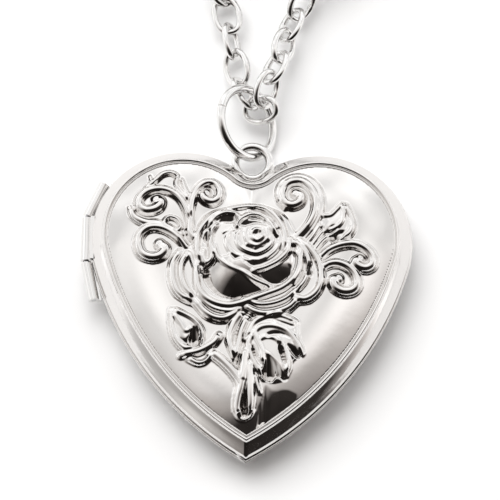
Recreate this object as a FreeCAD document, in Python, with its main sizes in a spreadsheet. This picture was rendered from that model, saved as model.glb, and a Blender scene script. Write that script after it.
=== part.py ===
import FreeCAD, Part
import math
import os
import Sketcher

from FreeCAD import Placement, Rotation, Vector

# A heart-shaped photo locket, lying on its back, with its cable chain.
# Millimetres. The hinge is on the -X side, +Y runs towards the bail and the chain, and +Z up out
# of the front cover. The origin is on the resting face of the back cover.

SIZES = {
    # outline of the heart: two lobes, two long sides and a small round in the cleft
    "lobe_x": 5.9,
    "lobe_y": 5.5,
    "lobe_radius": 8.2,
    "side_radius": 29.5,
    "side_angle": 15.0,
    "cleft_radius": 1.0,
    # stamped shells
    "sheet": 0.4,
    "parting_height": 2.4,
    "parting_gap": 0.05,
    "back_curl": 1.6,
    "front_step": 0.12,
    "front_curl": 1.03,
    "front_rise": 1.85,
    "bead_width": 0.3,
    "bead_rise": 0.16,
    "dome_rise": 0.45,
    # frames, films and cards inside the covers
    "bezel_inset": 0.62,
    "bezel_thick": 0.25,
    "bezel_mouth": 2.2,
    "lip_rise": 0.6,
    "flange_depth": 0.7,
    "film_inset": 1.25,
    "film_thick": 0.12,
    "card_thick": 0.2,
    # hinge
    "hinge_x": -14.27,
    "knuckle_radius": 0.475,
    "pin_radius": 0.22,
    "running_gap": 0.05,
    "notch_radius": 0.6,
    "middle_low_y": 3.5,
    "middle_high_y": 7.4,
    "knuckle_gap": 0.2,
    "leaf_width": 0.34,
    "leaf_height": 0.6,
    # catch at the point of the heart
    "catch_radius": 0.5,
    # bail and jump ring
    "bail_y": 13.1,
    "bail_height": 1.9,
    "bail_radius": 1.5,
    "bail_wire": 0.38,
    "ring_radius": 3.1,
    "ring_wire": 0.39,
    "ring_slit": 0.12,
    # cable chain
    "link_length": 3.75,
    "link_width": 2.7,
    "link_wire": 0.275,
    "left_pitch": 2.54,
    "right_pitch": 2.3,
    "coil_x": 1.0,
    "coil_y": 48.6,
    "coil_outer": 16.2,
    "coil_step": 2.3,
    "coil_turns": 2.33,
    "coil_layer": 2.1,
    # lobster clasp
    "clasp_height": 1.45,
    "clasp_thick": 1.7,
    "hook_radius": 1.9,
    "hook_wire": 0.5,
    "hook_x": 3.2,
    "pivot_radius": 0.22,
}

# angles round the quarter ellipse of each rolled edge
BACK_STEPS = (0.0, 22.5, 45.0, 67.5, 90.0)
FRONT_STEPS = (0.0, 30.0, 60.0, 90.0)

document = FreeCAD.newDocument("heart_locket")
sheet = document.addObject("Spreadsheet::Sheet", "Sizes")
for row, (word, value) in enumerate(SIZES.items(), start=1):
    sheet.set(f"A{row}", word)
    sheet.set(f"B{row}", str(value))
    sheet.setAlias(f"B{row}", word)
document.recompute()


class Size:
    """A length with its number and the sheet expression that keeps it up to date."""

    def __init__(self, number, text):
        self.number = number
        self.text = text

    def combine(self, other, symbol, result):
        other = as_size(other)
        return Size(result(self.number, other.number), f"({self.text} {symbol} {other.text})")

    def __add__(self, other):
        return self.combine(other, "+", lambda a, b: a + b)

    def __sub__(self, other):
        return self.combine(other, "-", lambda a, b: a - b)

    def __mul__(self, other):
        return self.combine(other, "*", lambda a, b: a * b)

    def __truediv__(self, other):
        return self.combine(other, "/", lambda a, b: a / b)

    def root(self):
        return Size(math.sqrt(self.number), f"sqrt({self.text})")


def as_size(value):
    """A plain number becomes a Size whose expression is that number."""
    if isinstance(value, Size):
        return value
    return Size(float(value), f"({float(value):.9f})")


def size(word):
    """The sheet's cell with that alias."""
    return Size(float(getattr(sheet, word)), f"Sizes.{word}")


def bind(thing, member, value):
    """Set a property from a Size and keep it bound to the sheet."""
    value = as_size(value)
    if "." not in member:
        setattr(thing, member, value.number)
    thing.setExpression(member, value.text)


def cosine(degrees):
    return math.cos(math.radians(degrees))


def sine(degrees):
    return math.sin(math.radians(degrees))


def direction(degrees):
    """Unit vector in the XY plane."""
    return Vector(cosine(degrees), sine(degrees), 0)


PARTING = size("parting_height")
FRONT_BASE = PARTING + size("parting_gap")


# ---------------------------------------------------------------- the heart outline

def origin_plane(body, role):
    """One of a body's own three planes."""
    return [plane for plane in body.Origin.OriginFeatures if plane.Role == role][0]


def heart_sketch(body, name, inset, height):
    """The heart's outline moved in by inset, level at height: five tangent arcs, sharp point."""
    inset = as_size(inset)
    lobe_x = size("lobe_x")
    lobe_y = size("lobe_y")
    lobe = size("lobe_radius") - inset
    side = size("side_radius") - inset
    cleft = size("cleft_radius") + inset
    reach = size("side_radius") - size("lobe_radius")
    side_x = reach * cosine(size("side_angle").number) - lobe_x
    side_y = lobe_y + reach * sine(size("side_angle").number)
    tip_drop = (side * side - side_x * side_x).root() - side_y
    cleft_y = lobe_y.number + math.sqrt((lobe.number + cleft.number) ** 2 - lobe_x.number ** 2)

    meet = math.degrees(math.atan2(cleft_y - lobe_y.number, -lobe_x.number))
    point = math.degrees(math.atan2(-tip_drop.number - side_y.number, side_x.number))

    def arc(centre_x, centre_y, radius, first, last):
        circle = Part.Circle(Vector(centre_x, centre_y, 0), Vector(0, 0, 1), radius)
        return Part.ArcOfCircle(circle, math.radians(first), math.radians(last))

    sketch = body.newObject("Sketcher::SketchObject", name)
    sketch.AttachmentSupport = [(origin_plane(body, "XY_Plane"), "")]
    sketch.MapMode = "FlatFace"
    bind(sketch, "AttachmentOffset.Base.z", height)
    lobe_r, cleft_arc, lobe_l, side_l, side_r = sketch.addGeometry([
        arc(lobe_x.number, lobe_y.number, lobe.number, -size("side_angle").number, meet),
        arc(0, cleft_y, cleft.number, 180 + 180 - meet, 180 + meet),
        arc(-lobe_x.number, lobe_y.number, lobe.number, 180 - meet, 180 + size("side_angle").number),
        arc(side_x.number, side_y.number, side.number, 180 + size("side_angle").number, 180 - point),
        arc(-side_x.number, side_y.number, side.number, point, -size("side_angle").number),
    ], False)
    if point > 0:
        raise ValueError("the sides don't meet below the lobes")

    def rule(kind, *items, value=None, label=None):
        number = sketch.addConstraint(Sketcher.Constraint(kind, *items))
        if label:
            sketch.renameConstraint(number, label)
            sketch.setExpression(f"Constraints.{label}", value.text)

    rule("Tangent", side_r, 2, lobe_r, 1)
    rule("Tangent", lobe_r, 2, cleft_arc, 2)
    rule("Tangent", cleft_arc, 1, lobe_l, 1)
    rule("Tangent", lobe_l, 2, side_l, 1)
    rule("Coincident", side_l, 2, side_r, 1)
    rule("PointOnObject", side_l, 2, -2)
    rule("DistanceY", side_l, 2, -1, 1, tip_drop.number, value=tip_drop, label="tip_drop")
    for label, lobe_arc, first, second in (
        ("right", lobe_r, (-1, 1), (lobe_r, 3)),
        ("left", lobe_l, (lobe_l, 3), (-1, 1)),
    ):
        rule("DistanceX", *first, *second, lobe_x.number, value=lobe_x, label=f"{label}_lobe_x")
        rule("DistanceY", -1, 1, lobe_arc, 3, lobe_y.number, value=lobe_y, label=f"{label}_lobe_y")
        rule("Radius", lobe_arc, lobe.number, value=lobe, label=f"{label}_lobe")
    rule("Radius", side_l, side.number, value=side, label="left_side")
    rule("Radius", side_r, side.number, value=side, label="right_side")
    rule("Radius", cleft_arc, cleft.number, value=cleft, label="cleft")
    return sketch


def new_body(name):
    body = document.addObject("PartDesign::Body", name)
    body.Label = name
    return body


def loft(body, kind, name, sections):
    """Loft through hearts given as (inset, height)."""
    sketches = []
    for number, (inset, height) in enumerate(sections):
        sketches.append(heart_sketch(body, f"{name}_section_{number}", inset, height))
    feature = body.newObject(f"PartDesign::{kind}", name)
    feature.Profile = sketches[0]
    feature.Sections = sketches[1:]
    feature.Ruled = False
    feature.Closed = False
    body.Tip = feature
    return feature


def heart_ring(name, outer, inner, base, height):
    """A flat heart plate with a heart-shaped mouth, from base upwards."""
    body = new_body(name)
    plate = heart_sketch(body, f"{name}_outline", outer, base)
    pad = body.newObject("PartDesign::Pad", f"{name}_plate")
    pad.Profile = plate
    bind(pad, "Length", height)
    if inner is not None:
        mouth = heart_sketch(body, f"{name}_mouth_outline", inner, base)
        pocket = body.newObject("PartDesign::Pocket", f"{name}_mouth")
        pocket.Profile = mouth
        pocket.Type = "ThroughAll"
        pocket.Midplane = True
        body.Tip = pocket
    return body


def labelled(piece, name):
    piece.Label = name
    return piece


def fuse(name, pieces):
    joined = document.addObject("Part::MultiFuse", name)
    joined.Shapes = pieces
    joined.Label = name
    return joined


def cut(name, base, tool):
    result = document.addObject("Part::Cut", name)
    result.Base = base
    result.Tool = tool
    result.Label = name
    return result


def cylinder(name, radius, length, start, along):
    """A cylinder from start, running along a direction."""
    piece = document.addObject("Part::Cylinder", name)
    bind(piece, "Radius", radius)
    bind(piece, "Height", length)
    piece.Placement = Placement(start, Rotation(Vector(0, 0, 1), along))
    return piece


def ball(name, radius, centre):
    piece = document.addObject("Part::Sphere", name)
    bind(piece, "Radius", radius)
    piece.Placement = Placement(centre, Rotation())
    return piece


def torus(name, radius, wire, placement, start=0.0, stop=360.0):
    """A ring of round wire, whole or from start to stop degrees about its axis."""
    piece = document.addObject("Part::Torus", name)
    bind(piece, "Radius1", radius)
    bind(piece, "Radius2", wire)
    piece.Angle3 = stop - start
    piece.Placement = placement * Placement(Vector(), Rotation(Vector(0, 0, 1), start))
    return piece


def box(name, length, width, height, placement):
    piece = document.addObject("Part::Box", name)
    bind(piece, "Length", length)
    bind(piece, "Width", width)
    bind(piece, "Height", height)
    piece.Placement = placement
    return piece


# ---------------------------------------------------------------- hinge line

HINGE_HEIGHT = PARTING.number
HINGE_X = size("hinge_x").number
# the three straight stretches of the bent pin follow the curve of the lobe
HINGE_POINTS = {
    "upper_end": Vector(-12.9, 10.6, HINGE_HEIGHT),
    "upper_bend": Vector(HINGE_X, 7.5, HINGE_HEIGHT),
    "lower_bend": Vector(HINGE_X, 3.4, HINGE_HEIGHT),
    "lower_end": Vector(-13.5, -0.1, HINGE_HEIGHT),
}


def stretch(first, last):
    """Start, unit direction and length between two named points of the hinge line."""
    start = HINGE_POINTS[first]
    along = HINGE_POINTS[last] - start
    return start, along / along.Length, along.Length


def hinge_notch(name):
    """Room for the knuckles in the back cover: a round groove along the bent pin."""
    pieces = []
    for number, (first, last) in enumerate((
        ("upper_bend", "upper_end"),
        ("lower_bend", "upper_bend"),
        ("lower_bend", "lower_end"),
    )):
        start, along, length = stretch(first, last)
        pieces.append(cylinder(f"{name}_{number}", size("notch_radius"), length, start, along))
    return fuse(name, pieces)


def swept_notch(name):
    """Room in the front cover for the fixed knuckles while it turns about the straight stretch."""
    notch = size("notch_radius")
    start, along, length = stretch("lower_bend", "upper_bend")
    pieces = [cylinder(f"{name}_middle", notch, length, start, along)]
    for label, bend, end in (
        ("upper", "upper_bend", "upper_end"),
        ("lower", "lower_bend", "lower_end"),
    ):
        drift = HINGE_POINTS[end].x - HINGE_X
        rise = HINGE_POINTS[end].y - HINGE_POINTS[bend].y
        cone = document.addObject("Part::Cone", f"{name}_{label}")
        bind(cone, "Radius1", notch)
        bind(cone, "Radius2", notch + drift)
        cone.Height = abs(rise)
        heading = Vector(0, math.copysign(1, rise), 0)
        cone.Placement = Placement(HINGE_POINTS[bend], Rotation(Vector(0, 0, 1), heading))
        pieces.append(cone)
    return fuse(name, pieces)


# ---------------------------------------------------------------- back cover

def back_cover():
    body = new_body("back_shell")
    thick = size("sheet")
    curl = size("back_curl")
    outside = []
    inside = []
    for angle in BACK_STEPS:
        outside.append((curl * (1 - cosine(angle)), PARTING - PARTING * sine(angle)))
        hollow = PARTING - thick
        inside.append((thick + curl * (1 - cosine(angle)), PARTING - hollow * sine(angle)))
    loft(body, "AdditiveLoft", "back_outside", outside)
    loft(body, "SubtractiveLoft", "back_inside", inside)
    return cut("back_cover", body, hinge_notch("back_notch"))


# ---------------------------------------------------------------- front cover and its relief

RELIEF_BASE = 4.55
RELIEF_TOP = 5.8
# curls of the scrollwork: centre x, centre y, radius, first and last angle of the wire
CURLS = (
    (-8.1, 8.0, 1.35, -40, 250),
    (-3.6, 8.4, 1.3, -60, 220),
    (-8.1, 4.0, 1.15, 0, 300),
    (4.0, 8.4, 1.4, -70, 230),
    (9.5, 2.7, 1.15, -200, 100),
    (8.0, 0.7, 1.15, -250, 60),
)
# buds and leaves as low ovals: centre x, centre y, half length, half width, turn in degrees
LEAVES = (
    (-9.9, 6.0, 1.6, 0.7, 100),
    (7.9, 6.5, 2.0, 1.25, 75),
    (-5.4, -3.8, 2.1, 1.5, -60),
    (1.9, -4.6, 2.7, 1.9, 60),
    (3.6, -6.6, 1.9, 1.2, -30),
    (-1.2, -4.4, 1.9, 0.6, 80),
)
# petals of the rose round its heart: angle from +X, distance, half length, half width
PETALS = tuple((90 + 72 * turn, 3.1, 2.9, 2.4) for turn in range(5))
ROSE_CENTRE = (-0.1, 2.6)


def low_oval(name, x, y, half_length, half_width, turn, rise):
    """A flattened ellipsoid that stands out of the dome."""
    oval = document.addObject("Part::Ellipsoid", name)
    oval.Radius1 = rise
    oval.Radius2 = half_length
    oval.Radius3 = half_width
    oval.Angle1 = -90
    oval.Placement = Placement(Vector(x, y, RELIEF_BASE), Rotation(Vector(0, 0, 1), turn))
    return oval


# radius and height of the rose's stepped heart, from its sunken foot to its middle
ROSE_STEPS = ((0.0, 4.3), (4.2, 4.3), (4.0, 5.1), (2.9, 5.3), (2.6, 5.6), (1.3, 5.75), (0.0, RELIEF_TOP))
PETAL_HEIGHT = 0.7
LEAF_HEIGHT = 0.75
CURL_WIRE = 0.4
STEM_START = Vector(-0.8, -4.0, RELIEF_BASE)
STEM_ALONG = Vector(0.05, -1, 0)
STEM_RADIUS = 0.5
STEM_LENGTH = 7.2


def rose(name):
    """The heart of the rose: three stepped rings turned about its own axis."""
    body = new_body(name)
    sketch = body.newObject("Sketcher::SketchObject", f"{name}_profile")
    sketch.AttachmentSupport = [(origin_plane(body, "XZ_Plane"), "")]
    sketch.MapMode = "FlatFace"
    corners = [Vector(radius, height, 0) for radius, height in ROSE_STEPS]
    edges = []
    for number, corner in enumerate(corners):
        following = corners[(number + 1) % len(corners)]
        edges.append(sketch.addGeometry(Part.LineSegment(corner, following), False))
    for number, edge in enumerate(edges):
        following = edges[(number + 1) % len(edges)]
        sketch.addConstraint(Sketcher.Constraint("Coincident", edge, 2, following, 1))
        sketch.addConstraint(Sketcher.Constraint("Block", edge))
    turned = body.newObject("PartDesign::Revolution", f"{name}_turned")
    turned.Profile = sketch
    turned.ReferenceAxis = (sketch, ["V_Axis"])
    turned.Angle = 360
    body.Tip = turned
    body.Placement = Placement(Vector(*ROSE_CENTRE, 0), Rotation())
    return body


def relief():
    """The raised rose, scrolls, buds, leaves and stem, in plain shapes."""
    pieces = [rose("rose_heart")]
    for number, (angle, distance, half_length, half_width) in enumerate(PETALS):
        spot = Vector(*ROSE_CENTRE, 0) + direction(angle) * distance
        shape = (half_length, half_width, angle, PETAL_HEIGHT)
        pieces.append(low_oval(f"petal_{number}", spot.x, spot.y, *shape))
    for number, (x, y, radius, first, last) in enumerate(CURLS):
        spot = Placement(Vector(x, y, RELIEF_BASE), Rotation())
        pieces.append(torus(f"curl_{number}", as_size(radius), as_size(CURL_WIRE), spot, first, last))
    for number, (x, y, half_length, half_width, turn) in enumerate(LEAVES):
        pieces.append(low_oval(f"leaf_{number}", x, y, half_length, half_width, turn, LEAF_HEIGHT))
    pieces.append(cylinder("stem", as_size(STEM_RADIUS), as_size(STEM_LENGTH), STEM_START, STEM_ALONG))
    return pieces


# how far one feature runs into the next, so that they join in one solid
SUNK = 0.1
# inset of the dome's steps and the share of its full height that each has reached
DOME_STEPS = ((3.2, 0.5), (5.0, 0.85), (7.0, 1.0))
DOME_HOLLOW_MARGIN = 0.3


def front_cover():
    body = new_body("front_shell")
    thick = size("sheet")
    step = size("front_step")
    curl = size("front_curl")
    rise = size("front_rise")
    rim_top = FRONT_BASE + rise
    band = [(step + curl * (1 - cosine(angle)), FRONT_BASE + rise * sine(angle)) for angle in FRONT_STEPS]
    loft(body, "AdditiveLoft", "front_band", band)

    bead_inset = step + curl
    bead = heart_sketch(body, "bead_outline", bead_inset, rim_top - 2 * SUNK)
    bead_pad = body.newObject("PartDesign::Pad", "bead")
    bead_pad.Profile = bead
    bind(bead_pad, "Length", size("bead_rise") + 2 * SUNK)
    plate_inset = bead_inset + size("bead_width")
    plate = heart_sketch(body, "plate_outline", plate_inset, rim_top)
    recess = body.newObject("PartDesign::Pocket", "bead_recess")
    recess.Profile = plate
    recess.Length = 1.0
    recess.Reversed = True
    body.Tip = recess

    dome_rise = size("dome_rise")
    dome = [(plate_inset, rim_top - SUNK)]
    hollow_dome = [(plate_inset + DOME_HOLLOW_MARGIN, rim_top - thick - SUNK)]
    for inset, share in DOME_STEPS:
        dome.append((as_size(inset), rim_top + dome_rise * share))
        hollow_dome.append((as_size(inset), rim_top - thick + dome_rise * share))
    loft(body, "AdditiveLoft", "dome", dome)

    hollow = rise - thick
    inside = [
        (step + thick + curl * (1 - cosine(angle)), FRONT_BASE + hollow * sine(angle))
        for angle in FRONT_STEPS
    ]
    loft(body, "SubtractiveLoft", "front_inside", inside)
    loft(body, "SubtractiveLoft", "dome_inside", hollow_dome)
    decorated = fuse("front_decorated", [body] + relief())
    return cut("front_cover", decorated, swept_notch("front_notch"))


# ---------------------------------------------------------------- inside the covers

def back_fittings():
    """Bezel with the closing lip, clear film and card of the back cover."""
    inset = size("bezel_inset")
    thick = size("bezel_thick")
    flange_base = PARTING - size("flange_depth") - thick
    flange = heart_ring("back_flange", inset, size("bezel_mouth"), flange_base, thick)
    lip_height = size("flange_depth") + thick + size("lip_rise")
    lip = heart_ring("closing_lip", inset, inset + thick, flange_base, lip_height)
    bezel = fuse("back_bezel", [flange, lip])
    film_base = flange_base - size("film_thick")
    film = heart_ring("back_window", size("film_inset"), None, film_base, size("film_thick"))
    card_base = film_base - size("card_thick")
    card = heart_ring("back_card", size("film_inset"), None, card_base, size("card_thick"))
    return [bezel, film, card]


# the front bezel passes inside the closing lip by this much
BEZEL_CLEARANCE = 0.08


def front_fittings():
    """Flat bezel, clear film and card of the front cover."""
    thick = size("bezel_thick")
    flange_base = FRONT_BASE + size("flange_depth")
    inset = size("bezel_inset") + BEZEL_CLEARANCE
    bezel = heart_ring("front_bezel", inset, size("bezel_mouth"), flange_base, thick)
    film_base = flange_base + thick
    film = heart_ring("front_window", size("film_inset"), None, film_base, size("film_thick"))
    card_base = film_base + size("film_thick")
    card = heart_ring("front_card", size("film_inset"), None, card_base, size("card_thick"))
    return [bezel, film, card]


NUB_HALF_HEIGHT = 0.3
NUB_STRETCH = 1.6
NUB_SPOT = Vector(-0.75, -14.1, FRONT_BASE.number + 0.36)
NUB_TURN = Rotation(Vector(0, 0, 1), -30)


def tip_catch():
    """The nub at the point of the front cover, for a thumbnail."""
    radius = size("catch_radius")
    nub = document.addObject("Part::Ellipsoid", "catch_nub")
    nub.Radius1 = NUB_HALF_HEIGHT
    bind(nub, "Radius2", radius * NUB_STRETCH)
    bind(nub, "Radius3", radius)
    nub.Placement = Placement(NUB_SPOT, NUB_TURN)
    return labelled(nub, "tip_catch")


# ---------------------------------------------------------------- hinge

# the solder leaves start beside the bore and a step above or below the hinge line
LEAF_START = 0.29
LEAF_STEP = 0.2


def fixed_knuckle(name, first, last, bore):
    """A tube between two points of the hinge line with its solder leaf below."""
    start, along, length = stretch(first, last)
    tube_gap = size("knuckle_gap").number / 2
    start = start + along * tube_gap
    length = length - tube_gap
    radius = size("knuckle_radius")
    tube = cylinder(f"{name}_tube", radius, length, start, along)
    inward = Vector(abs(along.y), -along.x * math.copysign(1, along.y), 0)
    upward = Vector(0, 0, 1)
    ahead = upward.cross(inward)
    corner = start if ahead.dot(along) > 0 else start + along * length
    corner = corner + inward * LEAF_START - upward * (LEAF_STEP + size("leaf_height").number)
    frame = Placement(corner, Rotation(inward, ahead, upward, "XYZ"))
    leaf = box(f"{name}_leaf", size("leaf_width"), length, size("leaf_height"), frame)
    solid = fuse(f"{name}_blank", [tube, leaf])
    drill = cylinder(f"{name}_bore", bore, length + 2, start - along, along)
    return cut(name, solid, drill)


def hinge():
    """Three knuckles and the bent pin."""
    pin = size("pin_radius")
    upper = fixed_knuckle("hinge_knuckle_upper", "upper_bend", "upper_end", pin)
    lower = fixed_knuckle("hinge_knuckle_lower", "lower_bend", "lower_end", pin)
    middle = middle_knuckle(pin + size("running_gap"))
    pieces = []
    for number, (first, last) in enumerate((
        ("upper_bend", "upper_end"),
        ("lower_bend", "upper_bend"),
        ("lower_bend", "lower_end"),
    )):
        start, along, length = stretch(first, last)
        pieces.append(cylinder(f"pin_{number}", pin, length, start, along))
    for bend in ("upper_bend", "lower_bend"):
        pieces.append(ball(f"pin_{bend}", pin, HINGE_POINTS[bend]))
    return [upper, middle, lower, fuse("hinge_pin", pieces)]


def middle_knuckle(bore):
    """The front cover's knuckle, which turns on the straight stretch of the pin."""
    low = size("middle_low_y").number
    length = size("middle_high_y") - size("middle_low_y")
    start = Vector(HINGE_X, low, HINGE_HEIGHT)
    up = Vector(0, 1, 0)
    tube = cylinder("middle_tube", size("knuckle_radius"), length, start, up)
    corner = Vector(HINGE_X + LEAF_START, low, HINGE_HEIGHT + LEAF_STEP)
    leaf = box("middle_leaf", size("leaf_width"), length, size("leaf_height"), Placement(corner, Rotation()))
    solid = fuse("middle_blank", [tube, leaf])
    drill = cylinder("middle_bore", bore, length + 2, start - up, up)
    return cut("hinge_knuckle_middle", solid, drill)


# ---------------------------------------------------------------- bail and jump ring

BAIL_SPOT = Vector(0, size("bail_y").number, size("bail_height").number)
# the jump ring leans: it leaves the bail rising a little and is rolled with its left side up
RING_NEAR = Vector(-0.05, 13.62, 1.85)
RING_AWAY = Vector(-0.17, 0.97, 0.17).normalize()
RING_ROLL = 42.0
RING_SLIT_ANGLE = 63.0


def ring_placement():
    """Frame of the jump ring: X away from the bail, Y to its raised left side, Z its axis."""
    left = Vector(-cosine(RING_ROLL), 0, sine(RING_ROLL))
    left = (left - RING_AWAY * left.dot(RING_AWAY)).normalize()
    centre = RING_NEAR + RING_AWAY * size("ring_radius").number
    return Placement(centre, Rotation(RING_AWAY, left, RING_AWAY.cross(left), "XYZ"))


def bail():
    loop = torus("bail_loop", size("bail_radius"), size("bail_wire"), Placement(BAIL_SPOT, Rotation()))
    return labelled(loop, "bail")


def jump_ring():
    frame = ring_placement()
    whole = torus("ring_whole", size("ring_radius"), size("ring_wire"), frame)
    spot = direction(RING_SLIT_ANGLE) * size("ring_radius").number
    across = Rotation(Vector(0, 0, 1), RING_SLIT_ANGLE)
    corner = spot + across.multVec(Vector(-1, -size("ring_slit").number / 2, -1))
    slit = box("ring_slit_cut", as_size(2), size("ring_slit"), as_size(2), frame * Placement(corner, across))
    return cut("jump_ring", whole, slit)


# ---------------------------------------------------------------- chain

COIL_CENTRE = Vector(size("coil_x").number, size("coil_y").number, 0)
LOWER_LAYER = 1.05
UPPER_LAYER = LOWER_LAYER + size("coil_layer").number
SPIRAL_POINTS_PER_TURN = 14
# the chain turns back inside the jump ring: this link lies across it, from the left strand,
# which passes under the ring, to the right strand, which passes over it
TURN_LINK = Vector(0.6, 17.95, 2.2)
LEFT_RUN = (
    (0.60, 17.95, 2.2),
    (-0.60, 18.95, 1.62),
    (-1.40, 21.2, 1.32),
    (-2.00, 24.0, 1.35),
    (-2.45, 27.0, 1.10),
    (-3.50, 30.0, 1.05),
    (-6.30, 32.9, 1.05),
)
RIGHT_RUN = (
    (0.60, 17.95, 2.2),
    (0.85, 19.05, 3.05),
    (1.67, 21.3, 2.75),
    (2.55, 24.1, 2.05),
    (3.38, 27.0, 1.45),
    (4.80, 29.7, 1.95),
    (7.90, 32.7, 3.00),
)
# where each strand meets the coil, the way it winds, and its layer
COILS = {
    "left": (226.0, -1, LOWER_LAYER),
    "right": (314.0, 1, UPPER_LAYER),
}
# from the last turn of the coil to the clasp in its middle
LEFT_TAIL = ((1.60, 59.3, 1.05), (5.40, 58.0, 1.10), (7.30, 54.6, 1.20), (6.18, 51.05, 1.25))
RIGHT_TAIL = ((0.60, 59.1, 3.00), (-2.30, 57.4, 2.30), (-2.34, 52.64, 1.50))


def spiral(side):
    """Points of a strand's turns, from the outside of the coil inwards."""
    first, way, height = COILS[side]
    turns = size("coil_turns").number
    count = round(turns * SPIRAL_POINTS_PER_TURN)
    points = []
    for number in range(count + 1):
        turned = turns * number / count
        radius = size("coil_outer").number - size("coil_step").number * turned
        spot = COIL_CENTRE + direction(first + way * 360 * turned) * radius
        points.append(Vector(spot.x, spot.y, height))
    return points


def route(run, side, tail):
    """The whole strand as one smooth curve."""
    points = [Vector(*point) for point in run] + spiral(side) + [Vector(*point) for point in tail]
    count = len(points)
    curve = Part.BSplineCurve()
    knots = list(range(count - 1))
    ends = [3] + [1] * (count - 3) + [3]
    curve.buildFromPolesMultsKnots(points, ends, knots, False, 2)
    return curve


def link_shape():
    """One oval link of round wire: two half rings joined by two straight sides."""
    wire = size("link_wire").number
    bend = size("link_width").number / 2 - wire
    straight = size("link_length").number / 2 - wire - bend
    profile = Part.Wire([Part.Circle(Vector(-straight, bend, 0), Vector(1, 0, 0), wire).toShape()])
    spine = Part.Wire([
        Part.LineSegment(Vector(-straight, bend, 0), Vector(straight, bend, 0)).toShape(),
        Part.Arc(
            Vector(straight, bend, 0), Vector(straight + bend, 0, 0), Vector(straight, -bend, 0)
        ).toShape(),
        Part.LineSegment(Vector(straight, -bend, 0), Vector(-straight, -bend, 0)).toShape(),
        Part.Arc(
            Vector(-straight, -bend, 0), Vector(-straight - bend, 0, 0), Vector(-straight, bend, 0)
        ).toShape(),
    ])
    return spine.makePipeShell([profile], True, False)


def link_frame(spot, along, roll):
    """Frame of a link: X along the chain, turned by roll about it from lying flat."""
    along = Vector(along).normalize()
    side = Vector(0, 0, 1).cross(along).normalize()
    up = along.cross(side)
    across = side * cosine(roll) + up * sine(roll)
    return Placement(spot, Rotation(along, across, along.cross(across), "XYZ"))


# links are drawn one by one only where they stand this clear of the coil's rings
LINK_ROOM = 0.6


def strand(name, run, side, tail, pitch, first_gap, rolls):
    """The links outside the coil: those seen by the ring and the last few by the clasp."""
    curve = route(run, side, tail)
    total = curve.length()
    count = round((total - first_gap) / pitch)
    pitch = (total - first_gap) / count
    link = link_shape()
    links = []
    coil_edge = size("coil_outer").number + size("link_width").number / 2
    hole_edge = coil_edge - size("coil_step").number * size("coil_turns").number - size("link_width").number
    for number in range(count + 1):
        where = curve.parameterAtDistance(min(first_gap + pitch * number, total))
        spot = curve.value(where)
        apart = (Vector(spot.x, spot.y, 0) - COIL_CENTRE).Length
        if apart > coil_edge + LINK_ROOM or apart < hole_edge - LINK_ROOM:
            roll = rolls[number] if number < len(rolls) else 45 + 90 * (number % 2)
            piece = link.copy()
            piece.Placement = link_frame(spot, curve.tangent(where)[0], roll)
            links.append(piece)
    return links, total


# distance along each strand to its first link, and how far the left one's first links are rolled
LEFT_FIRST_GAP = 2.3
RIGHT_FIRST_GAP = 1.9
LEFT_ROLLS = (52, -35, 60, 0)
TURN_LINK_WAY = Vector(1.87, -0.1, 1.2)
TURN_LINK_ROLL = 20
# the two coils lie on each other with this much air
COIL_AIR = 0.03


def chain():
    """Both strands, with their put-away turns as plain flat rings."""
    left, left_length = strand(
        "left", LEFT_RUN, "left", LEFT_TAIL, size("left_pitch").number, LEFT_FIRST_GAP, LEFT_ROLLS
    )
    right, right_length = strand(
        "right", RIGHT_RUN, "right", RIGHT_TAIL, size("right_pitch").number, RIGHT_FIRST_GAP, ()
    )
    turn = link_shape()
    turn.Placement = link_frame(TURN_LINK, TURN_LINK_WAY, TURN_LINK_ROLL)
    left.insert(0, turn)
    print("strand lengths", round(left_length, 1), round(right_length, 1))

    nodes = []
    for name, links in (("chain_left_links", left), ("chain_right_links", right)):
        node = document.addObject("Part::Feature", name)
        node.Shape = Part.makeCompound(links)
        node.Label = name
        nodes.append(node)
    half = size("link_width") / 2
    outer = size("coil_outer") + half
    inner = size("coil_outer") - size("coil_step") * size("coil_turns") - half
    height = size("coil_layer") - COIL_AIR
    for name, base in (("chain_coil_lower", 0.0), ("chain_coil_upper", size("coil_layer").number)):
        spot = COIL_CENTRE + Vector(0, 0, base)
        disc = cylinder(f"{name}_disc", outer, height, spot, Vector(0, 0, 1))
        hole = cylinder(f"{name}_hole", inner, height + 2, spot - Vector(0, 0, 1), Vector(0, 0, 1))
        nodes.append(cut(name, disc, hole))
    return nodes


# ---------------------------------------------------------------- lobster clasp

CLASP_FRAME = Placement(
    Vector(1.4, 47.5, size("clasp_height").number), Rotation(Vector(0, 0, 1), 180)
)
PIVOT_SPOT = Vector(0.9, 0.75, 0)
HOOK_START = -150.0
HOOK_STOP = 66.0
LEVER_START = 80.0
LEVER_STOP = 155.0
BLOCK_LENGTH = 3.8
BLOCK_WIDTH = 2.7
BLOCK_BACK = -2.0
EYE_X = -2.95
EYE_RADIUS = 1.3
EYE_HOLE_RADIUS = 0.8
EYE_THICK = 0.6
SLOT_LENGTH = 3.1
SLOT_WIDTH = 1.9
SLOT_HEIGHT = 0.8
SLOT_CORNER = Vector(-1.3, -0.2, -SLOT_HEIGHT / 2)
# the gate's wire, its thumb lug and its boss are all this thick
GATE_THICK = 0.6
LUG_LENGTH = 1.3
LUG_WIDTH = 0.45
LUG_CORNER = Vector(-0.3, 1.15, -GATE_THICK / 2)
# bores run well past both faces of the clasp
BORE_LENGTH = 3.0
SPRING_STRIP = 0.12
SPRING_WIDTH = 0.5
SPRING_LENGTH = 2.2
SPRING_FOOT = 0.9
SPRING_CORNER = Vector(-1.25, -0.08, -SPRING_WIDTH / 2)


def in_clasp(offset, rotation=None):
    """A placement given in the clasp's own frame, whose +X points at its nose."""
    return CLASP_FRAME * Placement(offset, rotation or Rotation())


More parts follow.
